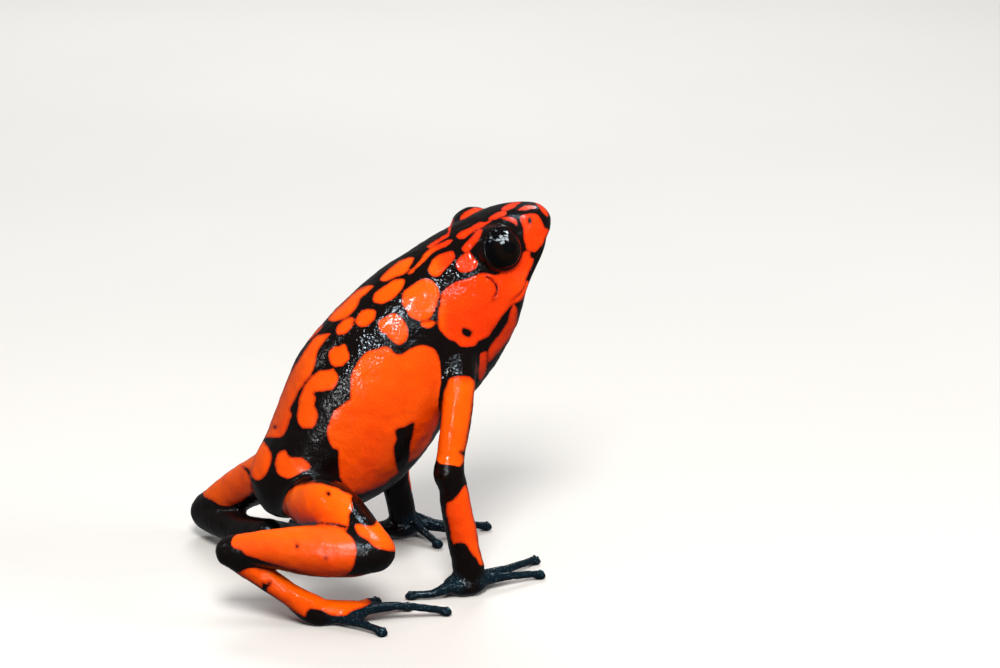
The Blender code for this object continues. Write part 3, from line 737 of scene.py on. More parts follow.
THIGH_ORANGE: dict[str, Outline] = {
    "thigh": ((280, 530), (281, 510), (284, 499), (289, 491), (296, 486), (305, 484), (315, 482.5),
              (325, 484),
              (335, 487), (345, 492), (352, 495), (351.5, 500), (353, 506), (352, 511), (349.5, 515),
              (349.5, 521),
              (348, 529), (335, 533), (310, 533), (290, 533)),
    "knee": KNEE_ORANGE,
}
# Painted shade: a thin dark line where the fold between thigh and shank falls into shade
KNEE_CREASE_SHADE: Outline = (
    (300, 523.8), (320, 522.7), (336, 524), (346, 526.6), (352, 530.5), (356, 535), (355, 536.5),
    (351, 532.5),
    (345.5, 528.2), (336, 525.4), (320, 524.1), (300, 525.2))
THIGH_BLACK: dict[str, Outline] = {
    "thigh dot": ((327, 492), (329.5, 493), (329.5, 495.5), (327, 495)),
    "crease shade": KNEE_CREASE_SHADE,
}
SHANK_ORANGE: dict[str, Outline] = {
    "shank": ((222, 541), (226, 536), (232, 531), (246, 529), (256, 527), (270, 526), (300, 524.5),
              (320, 523.6),
              (337, 526), (346, 530), (353, 537), (357, 547), (357, 556), (354, 566), (350, 572), (343, 576),
              (330, 577), (310, 574), (290, 569), (270, 563), (254, 558), (246, 555), (240, 550), (232, 550),
              (226, 549)),
    "knee": KNEE_ORANGE,
}
SHANK_BLACK: dict[str, Outline] = {
    "crease shade": KNEE_CREASE_SHADE,
    "shank dot": ((295.5, 546), (297, 544.5), (298.5, 546), (297, 547.5)),
    "shank dot low": ((324.5, 558), (326, 556.5), (327.5, 558), (326, 559.5)),
}
TARSUS_ORANGE: dict[str, Outline] = {
    "tarsus": ((236, 573), (242, 570), (250, 563), (262, 560), (280, 566), (292, 575), (305, 588), (318, 590),
               (335, 592), (350, 593), (362, 594), (369, 600), (371, 603), (362, 608), (352, 611), (347, 615),
               (338, 616), (330, 615), (322, 611), (312, 609), (307, 612), (305, 617), (297, 613), (285, 606),
               (272, 596), (262, 589), (250, 582), (240, 577)),
}
TARSUS_BLACK: dict[str, Outline] = {
    "heel mark": ((262, 582), (266, 584), (270, 581), (271, 584), (267, 588), (266, 592), (263, 593),
                  (261, 590),
                  (263, 586)),
}
LEFT_THIGH_ORANGE: dict[str, Outline] = {
    "left thigh": ((203, 496), (203, 490), (212, 478), (228, 463), (243, 452), (256, 446), (268, 460),
                   (262, 480),
                   (254, 490), (246, 498), (236, 504), (226, 508.5), (219, 507), (214, 502), (208, 499)),
}
LEFT_THIGH_BLACK: dict[str, Outline] = {
    # painted shade: a thin dark line in the fold between the left thigh and the rump
    "groin shade line": ((242.5, 466.5), (247, 468.5), (251, 473), (253, 480), (254.5, 490), (252, 490),
                     (251, 481),
                     (249, 475), (246, 470.5)),
}

# Patches that the photograph doesn't show, as places and half sizes forward, left and up
BELLY_ORANGE: tuple[tuple[Place, Place], ...] = (
    ((8.6, 0.0, 27.6), (1.6, 2.3, 2.6)),
    ((6.9, 0.3, 22.6), (1.6, 2.2, 1.7)),
    ((4.6, -1.6, 17.9), (1.8, 1.6, 1.5)),
    ((4.0, 2.1, 17.2), (1.8, 1.3, 1.8)),
    ((1.2, 0.2, 13.8), (1.8, 1.9, 1.7)),
    ((-0.6, -3.4, 12.4), (1.6, 1.3, 2.0)),
    ((-1.6, 3.3, 11.2), (1.7, 1.4, 1.8)),
    ((-3.7, -0.6, 9.0), (1.5, 2.3, 1.5)),
    ((-7.4, 2.4, 7.9), (1.6, 1.5, 1.2)),
    ((-7.2, -2.6, 8.0), (1.7, 1.3, 1.2)),
    ((-10.8, 0.2, 7.9), (1.5, 1.7, 1.2)),
)


@dataclass(frozen=True)
class Pattern:
    """Reads the orange and black pattern at any place of the skin.

    Every reading is in millimetres from the nearest edge, more than 0 on orange. A pair of
    numbers gives where a soft step from one reading to another starts and ends.
    """

    camera: PhotoCamera
    curve_steps: int = 4
    reach: float = 30.0
    far: float = -2.4
    lid_from: float = 1.7
    warp: float = 1.8
    warp_wave: float = 5.5
    warp_from: Pair = (0.5, 4.0)
    seed: int = 11
    faces_camera: Pair = (-0.04, 0.1)
    right_side: Pair = (0.3, -0.3)
    seen_at_all: Pair = (-0.22, 0.08)

    def edge_distance(self, pixels: np.ndarray, outline: Outline) -> np.ndarray:
        """Pixels inside or outside one outline, drawn as a smooth closed curve.

        Args:
            pixels: An array of pixel coordinates.
            outline: The outline's points.

        Returns:
            The distance to its edge in pixels, positive inside.
        """
        corners = np.array(outline, float)
        steps = np.arange(len(corners) * self.curve_steps) / self.curve_steps
        curve = along_curve(corners, steps, closed=True)
        low, high = curve.min(0) - self.reach, curve.max(0) + self.reach
        near = np.nonzero(np.all((pixels > low) & (pixels < high), axis=1))[0]
        p = pixels[near]
        best, inside = np.full(len(p), np.inf), np.zeros(len(p), bool)
        for a, b in zip(curve, np.roll(curve, -1, axis=0)):
            gap = beside(p, a, b)[1]
            best = np.minimum(best, np.einsum("ij,ij->i", gap, gap))
            crossed = (a[1] > p[:, 1]) != (b[1] > p[:, 1])
            reach_x = a[0] + (p[:, 1] - a[1]) * (b[0] - a[0]) / ((b[1] - a[1]) or TINY)
            inside ^= crossed & (p[:, 0] < reach_x)
        result = np.full(len(pixels), -self.reach)
        result[near] = np.where(inside, 1, -1) * np.sqrt(best)
        return np.maximum(result, -self.reach)

    def drawn(self, places: np.ndarray, orange: dict[str, Outline],
              black: dict[str, Outline] | None = None) -> np.ndarray:
        """The pattern as the photograph's line of sight carries it to these places.

        Args:
            places: The places to read.
            orange: The orange outlines.
            black: The black outlines on them.

        Returns:
            The distance from the edge in millimetres, positive on orange.
        """
        pixels = self.camera.pixels(places)
        mark = np.full(len(places), -self.reach)
        for outline in orange.values():
            mark = np.maximum(mark, self.edge_distance(pixels, outline))
        for outline in (black or {}).values():
            mark = np.minimum(mark, -self.edge_distance(pixels, outline))
        return mark / self.camera.pixels_a_mm

    def moved(self, places: np.ndarray) -> np.ndarray:
        """Places shifted by a smooth seeded wave, so the two sides aren't mirror twins."""
        noise.seed_set(self.seed)
        shift = np.array([noise.noise_vector(Vector(p) / self.warp_wave) for p in places])
        return places + shift * soft_step(*self.warp_from, np.abs(places[:, 1]))[:, None] * self.warp

    def unseen(self, places: np.ndarray) -> np.ndarray:
        """The pattern of the underside, which no photograph line reaches."""
        shifted = self.moved(places)
        mark = np.full(len(places), self.far)
        for middle, half in BELLY_ORANGE:
            mark = np.maximum(mark, (1 - lengths((shifted - middle) / half)) * min(half))
        return mark

    def trunk(self, places: np.ndarray, ways: np.ndarray, socket: np.ndarray) -> np.ndarray:
        """The whole pattern of head and trunk.

        Args:
            places: The points' places.
            ways: The ways they face.
            socket: How far each point lies inside the black edge of the lids, in millimetres.

        Returns:
            The distance from the edge in millimetres, positive on orange.
        """
        facing = self.camera.facing(places, ways)
        facing_other = self.camera.facing(places * MIRROR, ways * MIRROR)
        near_side = np.maximum(soft_step(*self.faces_camera, facing),
                               soft_step(*self.right_side, places[:, 1]))
        lid = np.minimum(self.drawn(places, LEFT_LID_ORANGE), places[:, 1] - self.lid_from)
        seen = np.maximum(self.drawn(places, TRUNK_ORANGE, TRUNK_BLACK), lid)
        other = self.drawn(self.moved(places) * MIRROR, TRUNK_ORANGE, TRUNK_BLACK)
        sides = near_side * seen + (1 - near_side) * other
        visible = soft_step(*self.seen_at_all, np.maximum(facing, facing_other))
        mark = visible * sides + (1 - visible) * self.unseen(places)
        return np.minimum(mark, -socket)


@dataclass(frozen=True)
class Face:
    """Lids, mouth, nostrils and ears, pressed and raised into the skin.

    Sizes are in millimetres and angles in degrees from the way the eye looks. Each form of the
    lips, the nostrils and the ears gives a height, and the middle and width of the ridge or
    groove, measured from the mouth line, the nostril's middle or the ear's edge. A pair of
    numbers gives where a soft step starts and ends.
    """

    eye_place: Place = (5.15, 3.7, 30.45)
    eye_looks: Place = (0.22, 0.93, 0.3)
    eye_radius: float = 2.05
    mound_inward: float = 0.45
    mound: Place = (2.5, 2.0, 2.15)
    lid_lift: float = 0.1
    opening: float = 64.0
    opening_edge: Pair = (1.5, -4.0)
    tuck: float = 0.4
    lid_ends: Pair = (9.0, 40.0)
    lid_reach: Pair = (4.2, 3.4)
    behind: float = 150.0
    lid_edge: float = 7.0
    socket_reach: float = 3.0
    mouth: Outline = ((6.0, 25.8), (7.4, 26.95), (8.35, 28.25), (9.45, 29.85), (10.35, 30.95), (12.0, 32.3))
    lips: tuple[Place, ...] = ((-0.2, 0.0, 0.11), (0.12, 0.42, 0.26), (0.06, -0.36, 0.22))
    lips_from: Pair = (0.0, 1.2)
    off_middle: Pair = (0.2, 0.6)
    nostril: Pair = (8.33, 32.5)
    nostril_size: Pair = (0.09, 0.2)
    nostril_forms: tuple[Place, ...] = ((-0.3, 0.0, 1.0), (0.05, 2.0, math.sqrt(0.5)))
    ear: Pair = (3.7, 27.3)
    ear_radius: float = 0.95
    ear_forms: tuple[Place, ...] = ((0.13, 0.12, 0.12), (-0.13, -0.06, 0.1))
    ear_front: Pair = (0.9, 0.1)
    ear_front_from: Pair = (-0.5, 0.9)
    ear_sink: float = 0.05
    ear_sink_from: Pair = (1.0, 0.2)

    def eye(self, side: Side) -> tuple[np.ndarray, np.ndarray]:
        """The eye's middle and the way it looks."""
        look = np.array(self.eye_looks) * (1, side.value, 1)
        return np.array(self.eye_place) * (1, side.value, 1), look / np.linalg.norm(look)

    def mounds(self) -> list[Surface]:
        """The raised skin round each eye."""
        forward, left, up = self.eye_place
        return [ball((forward, side.value * (left - self.mound_inward), up), self.mound) for side in Side]

    def around(self, places: np.ndarray, side: Side) -> tuple[np.ndarray, np.ndarray, np.ndarray]:
        """Where places lie about one eye.

        Args:
            places: The places to read.
            side: The eye's side.

        Returns:
            The ways from the eye's middle, their lengths, and their angles from the way it looks.
        """
        middle, look = self.eye(side)
        out = places - middle
        far = np.maximum(lengths(out), TINY)
        return out, far, np.degrees(np.arccos(np.clip(out @ look / far, -1, 1)))

    def seat_eyes(self, places: np.ndarray) -> np.ndarray:
        """Opens the lids round both eyeballs.

        Args:
            places: The skin's places.

        Returns:
            The moved places.
        """
        result = places.copy()
        for side in Side:
            out, far, angle = self.around(result, side)
            under, fade = (soft_step(self.opening + start, self.opening + end, angle)
                           for start, end in (self.opening_edge, self.lid_ends))
            rim = self.eye_radius + self.lid_lift
            target = rim + (far - rim) * fade
            target += (self.eye_radius - self.tuck - target) * under
            near = soft_step(*self.lid_reach, far)
            moved = far + (target - far) * near * (angle < self.behind)
            shifted = self.eye(side)[0] + out * (moved / far)[:, None]
            result = np.where((near > 0)[:, None], shifted, result)
        return result

    def socket_depth(self, places: np.ndarray) -> np.ndarray:
        """How far points lie inside the black edge of the lids, in millimetres."""
        depth = np.full(len(places), -9.0)
        for side in Side:
            _, far, angle = self.around(places, side)
            inside = np.radians(self.opening + self.lid_edge - angle) * self.eye_radius
            depth = np.where(far < self.socket_reach, np.maximum(depth, inside), depth)
        return depth

    def mouth_distance(self, places: np.ndarray) -> np.ndarray:
        """Signed distance from the closed mouth in the side view, positive above it."""
        line, flat = np.array(self.mouth), places[:, SIDE_VIEW]
        best, sign = np.full(len(places), np.inf), np.ones(len(places))
        for a, b in zip(line[:-1], line[1:]):
            gap = lengths(beside(flat, a, b)[1])
            above = (b[0] - a[0]) * (flat - a)[:, 1] - (b[1] - a[1]) * (flat - a)[:, 0]
            sign = np.where(gap < best, np.sign(above), sign)
            best = np.minimum(best, gap)
        return best * sign

    def relief(self, places: np.ndarray) -> np.ndarray:
        """How far the mouth, nostrils and ears move each point outwards.

        Args:
            places: The skin's places.

        Returns:
            One height in millimetres for each point.
        """
        flat = places[:, SIDE_VIEW]
        ahead = soft_step(*self.lips_from, lengths(flat - self.mouth[0]))
        ahead[flat.sum(1) < sum(self.mouth[0])] = 0.0
        lift = ridges(self.mouth_distance(places), self.lips) * ahead
        slit = ridges(lengths((flat - self.nostril) / self.nostril_size), self.nostril_forms)
        ring = lengths(flat - self.ear)
        front = soft_step(*self.ear_front_from, (flat - self.ear) @ self.ear_front)
        disc = ridges(ring - self.ear_radius, self.ear_forms) * front
        disc -= self.ear_sink * soft_step(*self.ear_sink_from, ring / self.ear_radius)
        for side in Side:
            lift += (slit + disc) * soft_step(*self.off_middle, places[:, 1] * side.value)
        return lift


class Nodes:
    """Adds nodes to one tree and joins them."""

    def __init__(self, tree: bpy.types.NodeTree) -> None:
        """Starts on a tree."""
        self.tree = tree

    def feed(self, node: bpy.types.Node, inputs: dict) -> None:
        """Sets or joins a node's inputs.

        Args:
            node: The node.
            inputs: Values or sockets by input name or number.
        """
        for key, value in inputs.items():
            if isinstance(value, bpy.types.NodeSocket):
                self.tree.links.new(value, node.inputs[key])
            else:
                node.inputs[key].default_value = value

    def add(self, kind: str, inputs: dict | None = None, **settings: object) -> bpy.types.Node:
        """Adds one node.

        Args:
            kind: The node's type.
            inputs: Values or sockets by input name or number.
            settings: Properties of the node.

        Returns:
            The node.
        """
        node = self.tree.nodes.new(kind)
        for key, value in settings.items():
            setattr(node, key, value)
        self.feed(node, inputs or {})
        return node

    def math(self, operation: str, a: object, b: object = 0.0, clamp: bool = False) -> bpy.types.NodeSocket:
        """One sum or comparison of two values."""
        return self.add("ShaderNodeMath", {0: a, 1: b}, operation=operation, use_clamp=clamp).outputs[0]

    def times(self, a: object, b: object) -> bpy.types.NodeSocket:
        """The product of two values."""
        return self.math("MULTIPLY", a, b)

    def swing(self, cloud: object, amount: object) -> bpy.types.NodeSocket:
        """How far a noise is from its middle, times an amount."""
        return self.times(self.math("SUBTRACT", cloud, 0.5), amount)

    def length(self, a: object, b: object) -> bpy.types.NodeSocket:
        """The long side of the right angle that two values span."""
        return self.math("SQRT", self.math("ADD", self.times(a, a), self.times(b, b)))

    def blend(self, factor: object, a: object, b: object) -> bpy.types.NodeSocket:
        """A mix of two colours."""
        return self.add("ShaderNodeMix", {0: factor, 6: a, 7: b}, data_type="RGBA").outputs[2]

    def over(self, under: object, mask: object, share: float, colour: object) -> bpy.types.NodeSocket:
        """A colour with a share of another laid over it where a mask shows."""
        return self.blend(self.times(mask, share), under, colour)

    def ramp(self, value: object, low: float, high: float, start: float = 0.0,
             end: float = 1.0) -> bpy.types.NodeSocket:
        """A smooth change from start to end while a value goes from low to high."""
        inputs = {"Value": value, "From Min": low, "From Max": high, "To Min": start, "To Max": end}
        return self.add("ShaderNodeMapRange", inputs, interpolation_type="SMOOTHSTEP").outputs[0]

    def value_of(self, name: str) -> bpy.types.NodeSocket:
        """The number that the mesh stores under a name."""
        return self.add("ShaderNodeAttribute", attribute_name=name).outputs["Fac"]

    def place(self) -> bpy.types.NodeSocket:
        """The place in the piece's own space."""
        return self.add("ShaderNodeTexCoord").outputs["Object"]

    def cloud(self, scale: object, detail: float, **inputs: object) -> bpy.types.NodeSocket:
        """Cloudy noise between 0 and 1, over the piece unless another Vector is given.

        Args:
            scale: How many waves fit in a metre.
            detail: How many finer layers it has.
            inputs: More inputs of the node, by name.

        Returns:
            The noise.
        """
        place = inputs.pop("Vector", None) or self.place()
        inputs = {"Vector": place, "Scale": scale, "Detail": detail, **inputs}
        return self.add("ShaderNodeTexNoise", inputs).outputs["Fac"]

    def group(self, tree: bpy.types.NodeTree, **inputs: object) -> bpy.types.NodeOutputs:
        """Places a shared group, and gives its outputs."""
        return self.add("ShaderNodeGroup", inputs, node_tree=tree).outputs

    def bump(self, height: object, depth: float) -> bpy.types.NodeSocket:
        """A surface bent by a height, over a depth in millimetres."""
        return self.add("ShaderNodeBump", {"Height": height, "Distance": depth * MM}).outputs["Normal"]


def new_material(name: str) -> tuple[bpy.types.Material, Nodes, bpy.types.Node]:
    """A material with nothing joined to its shader yet.

    Args:
        name: The material's name.

    Returns:
        The material, the helper that fills it, and its shader.
    """
    material = bpy.data.materials.new(name)
    material.use_nodes = True
    return material, Nodes(material.node_tree), material.node_tree.nodes["Principled BSDF"]


def new_group(name: str, inputs: dict[str, float],
              outputs: tuple[str, ...]) -> tuple[Nodes, bpy.types.NodeOutputs]:
    """An empty shader group with named number inputs and outputs.

    Args:
        name: The group's name.
        inputs: Input names with their usual values.
        outputs: Output names.

    Returns:
        The helper that fills the group, and what the group is given.
    """
    nodes = Nodes(bpy.data.node_groups.new(name, "ShaderNodeTree"))
    face = nodes.tree.interface
    for key, value in inputs.items():
        face.new_socket(key, in_out="INPUT", socket_type="NodeSocketFloat").default_value = value
    for key in outputs:
        face.new_socket(key, in_out="OUTPUT", socket_type="NodeSocketFloat")
    return nodes, nodes.add("NodeGroupInput").outputs


@dataclass
class SharedEffects:
    """The shader groups that more than one finish uses, with sizes in millimetres."""

    patches: float = 0.22
    patch_height: float = 2.0
    pores: float = 2.3
    pore_height: float = 0.35
    # where the mask for the painted highlight on granule tops starts and ends
    highlight_top_ends: Pair = (0.62, 0.92)
    water_ends: Pair = (0.35, 0.65)
    tooth: float = 0.55
    rim: float = 0.28

    def __post_init__(self) -> None:
        """Builds every group once."""
        self.grain = self.make_grain()
        self.film = self.make_film()
        self.edge = self.make_edge()

    def make_grain(self) -> bpy.types.NodeTree:
        """Fine rounded granules of wet skin: their height, and a mask of their tops, on which the skin paints a
        highlight.
        """
        nodes, given = new_group("granules", {"Size": 0.25, "Uneven": 0.5}, ("Height", "Highlight tops"))
        scale = nodes.math("DIVIDE", 1 / MM, given["Size"])
        cells = nodes.add("ShaderNodeTexVoronoi", feature="SMOOTH_F1")
        nodes.feed(cells, {"Vector": nodes.place(), "Scale": scale, "Randomness": 0.9, "Smoothness": 0.35})
        round_top = nodes.math("SUBTRACT", 1.0, cells.outputs["Distance"])
        wide = nodes.cloud(nodes.times(scale, self.patches), 3.0, Roughness=0.6)
        fine = nodes.cloud(nodes.times(scale, self.pores), 2.0)
        uneven = nodes.times(nodes.swing(wide, given["Uneven"]), self.patch_height)
        height = nodes.math("ADD", nodes.math("ADD", round_top, uneven), nodes.times(fine, self.pore_height))
        nodes.add("NodeGroupOutput", {"Height": height, "Highlight tops": nodes.ramp(round_top, *self.highlight_top_ends)})
        return nodes.tree

    def make_film(self) -> bpy.types.NodeTree:
        """Where water lies thicker on the surface, from 0 to 1."""
        nodes, given = new_group("water film", {"Patch": 2.0}, ("Wet",))
        cloud = nodes.cloud(nodes.math("DIVIDE", 1 / MM, given["Patch"]), 4.0, Distortion=0.4)
        nodes.add("NodeGroupOutput", {"Wet": nodes.ramp(cloud, *self.water_ends)})
        return nodes.tree

    def make_edge(self) -> bpy.types.NodeTree:
        """Turns the distance from the pattern's edge into a ragged colour border."""
        inputs = {"Mark": 0.0, "Ragged": 0.1, "Blur": 0.05}
        nodes, given = new_group("pattern edge", inputs, ("Orange", "Rim"))
        tooth = nodes.cloud(1 / MM / self.tooth, 3.0, Roughness=0.65)
        mark = nodes.math("ADD", given["Mark"], nodes.times(nodes.swing(tooth, given["Ragged"]), 2.0))
        orange = nodes.ramp(nodes.math("DIVIDE", mark, given["Blur"]), -1.0, 1.0)
        nodes.add("NodeGroupOutput", {"Orange": orange, "Rim": nodes.ramp(mark, self.rim, 0.0)})
        return nodes.tree


@dataclass(frozen=True)
class SkinFinish:
    """Wet, finely granular skin, orange on near black."""

    name: str = "wet frog skin"
    red_orange: Colour = (0.9, 0.04, 0.001, 1.0)
    yellow_orange: Colour = (1.0, 0.13, 0.001, 1.0)
    tone_cloud: float = 3.2
    tone_swing: float = 0.7
    rim_red: Colour = (0.42, 0.014, 0.002, 1.0)
    rim_share: float = 0.75
    # painted highlight: the tops of the granules are painted lighter and yellower on the orange
    orange_highlight: Colour = (1.0, 0.22, 0.02, 1.0)
    orange_highlight_share: float = 0.12
    black: Colour = (0.004, 0.0018, 0.0014, 1.0)
    blue_black: Colour = (0.003, 0.01, 0.016, 1.0)
    # painted highlight: the tops of the granules are painted lighter grey on the black
    black_highlight: Colour = (0.014, 0.014, 0.016, 1.0)
    black_highlight_share: float = 0.2
    # painted glints: pale blue specks on the granule tops of the digits
    toe_glints: Colour = (0.045, 0.085, 0.11, 1.0)
    toe_glints_share: float = 0.6
    granule: float = 0.3
    granule_depth: float = 0.035
    least_grain: float = 0.35
    grain_on_orange: float = 0.6
    thin_film: float = 0.75
    dry_roughness: float = 0.32
    wet_roughness: float = 0.12
    water_ior: float = 1.33

    def build(self, effects: SharedEffects) -> bpy.types.Material:
        """Makes the material.

        Args:
            effects: The shared shader groups.

        Returns:
            The material.
        """
        material, nodes, shader = new_material(self.name)
        edge = nodes.group(effects.edge, Mark=nodes.value_of("mark"))
        grain = nodes.group(effects.grain, Size=self.granule)
        highlight_tops, toe = grain["Highlight tops"], nodes.value_of("toe")
        swing = nodes.swing(nodes.cloud(1 / MM / self.tone_cloud, 3.0), self.tone_swing)
        # the stored tone carries painted light and shade as well as the skin's own tone
        tone = nodes.math("ADD", nodes.value_of("tone"), swing, clamp=True)
        orange = nodes.blend(tone, self.red_orange, self.yellow_orange)
        orange = nodes.over(orange, edge["Rim"], self.rim_share, self.rim_red)
        # painted highlight on the granule tops, over the orange and then over the black
        orange = nodes.over(orange, highlight_tops, self.orange_highlight_share, self.orange_highlight)
        black = nodes.blend(toe, self.black, self.blue_black)
        black = nodes.over(black, highlight_tops, self.black_highlight_share, self.black_highlight)
        # painted glints on the digits
        black = nodes.over(black, nodes.times(toe, highlight_tops), self.toe_glints_share, self.toe_glints)
        film = nodes.ramp(nodes.group(effects.film)["Wet"], 0.0, 1.0, self.thin_film, 1.0)
        wet = nodes.times(nodes.value_of("wet"), film)
        strength = nodes.times(nodes.value_of("grain"), 1.0 - self.least_grain)
        strength = nodes.times(nodes.math("ADD", self.least_grain, strength),
                               nodes.ramp(edge["Orange"], 0.0, 1.0, 1.0, self.grain_on_orange))
        nodes.feed(shader, {
            "Base Color": nodes.blend(edge["Orange"], black, orange),
            "Roughness": nodes.ramp(wet, 0.0, 1.0, self.dry_roughness, self.wet_roughness),
            "Normal": nodes.bump(nodes.times(grain["Height"], strength), self.granule_depth),
            "IOR": self.water_ior})
        return material


@dataclass(frozen=True)
class EyeFinish:
    """A dark wet eye: brown round a level black pupil, nearly black at its edge.

    Sizes across the eye are shares of its radius.
    """

    name: str = "wet dark eye"
    iris: Colour = (0.006, 0.003, 0.002, 1.0)
    fleck: Colour = (0.02, 0.011, 0.005, 1.0)
    black: Colour = (0.002, 0.002, 0.0025, 1.0)
    pupil: Pair = (0.36, 0.25)
    pupil_edge: Pair = (0.94, 1.04)
    iris_edge: Pair = (0.5, 0.72)
    rays: Pair = (7.0, 2.0)
    fleck_ends: Pair = (0.52, 0.75)
    roughness: float = 0.05
    dry_share: float = 1.8
    patch: float = 0.7
    granule: float = 0.42
    granule_depth: float = 0.02
    ior: float = 1.2

    def build(self, effects: SharedEffects) -> bpy.types.Material:
        """Makes the material.

        Args:
            effects: The shared shader groups.

        Returns:
            The material.
        """
        material, nodes, shader = new_material(self.name)
        level, rise = nodes.value_of("gaze_level"), nodes.value_of("gaze_rise")
        out = nodes.length(level, rise)
        ways = zip((level, rise), self.pupil)
        slit = nodes.length(*(nodes.math("DIVIDE", way, half) for way, half in ways))
        turn = nodes.math("ARCTAN2", rise, level)
        ray_place = nodes.add("ShaderNodeCombineXYZ", {0: nodes.times(turn, self.rays[0]),
                                                       1: nodes.times(out, self.rays[1])})
        rays = nodes.cloud(2.2, 4.0, Vector=ray_place.outputs[0], Roughness=0.7)
        iris = nodes.blend(nodes.ramp(rays, *self.fleck_ends), self.iris, self.fleck)
        iris = nodes.blend(nodes.ramp(out, *self.iris_edge), iris, self.black)
        film = nodes.group(effects.film, Patch=self.patch)["Wet"]
        grain = nodes.group(effects.grain, Size=self.granule)["Height"]
        nodes.feed(shader, {
            "Base Color": nodes.blend(nodes.ramp(slit, *self.pupil_edge), self.black, iris),
            "Roughness": nodes.ramp(film, 0.0, 1.0, self.roughness * self.dry_share, self.roughness),
            "Normal": nodes.bump(grain, self.granule_depth),
            "IOR": self.ior})
        return material


@dataclass(frozen=True)
class DiscFinish:
    """Small glossy plates on the toe tips, black, with a painted blue-green sheen where the water film lies."""

    name: str = "toe disc plates"
    black: Colour = (0.006, 0.014, 0.02, 1.0)
    painted_sheen: Colour = (0.02, 0.07, 0.09, 1.0)
    roughness: Pair = (0.3, 0.16)
    patch: float = 0.5
    granule: float = 0.12
    granule_depth: float = 0.012
    coat: float = 0.4
    coat_roughness: float = 0.1

    def build(self, effects: SharedEffects) -> bpy.types.Material:
        """Makes the material.

        Args:
            effects: The shared shader groups.

        Returns:
            The material.
        """
        material, nodes, shader = new_material(self.name)
        film = nodes.group(effects.film, Patch=self.patch)["Wet"]
        grain = nodes.group(effects.grain, Size=self.granule)["Height"]
        nodes.feed(shader, {
            # painted sheen: a lighter blue-green base colour where the water film lies
            "Base Color": nodes.blend(film, self.black, self.painted_sheen),
            "Roughness": nodes.ramp(film, 0.0, 1.0, *self.roughness),
            "Normal": nodes.bump(grain, self.granule_depth),
            "Coat Weight": self.coat,
            "Coat Roughness": self.coat_roughness})
        return material


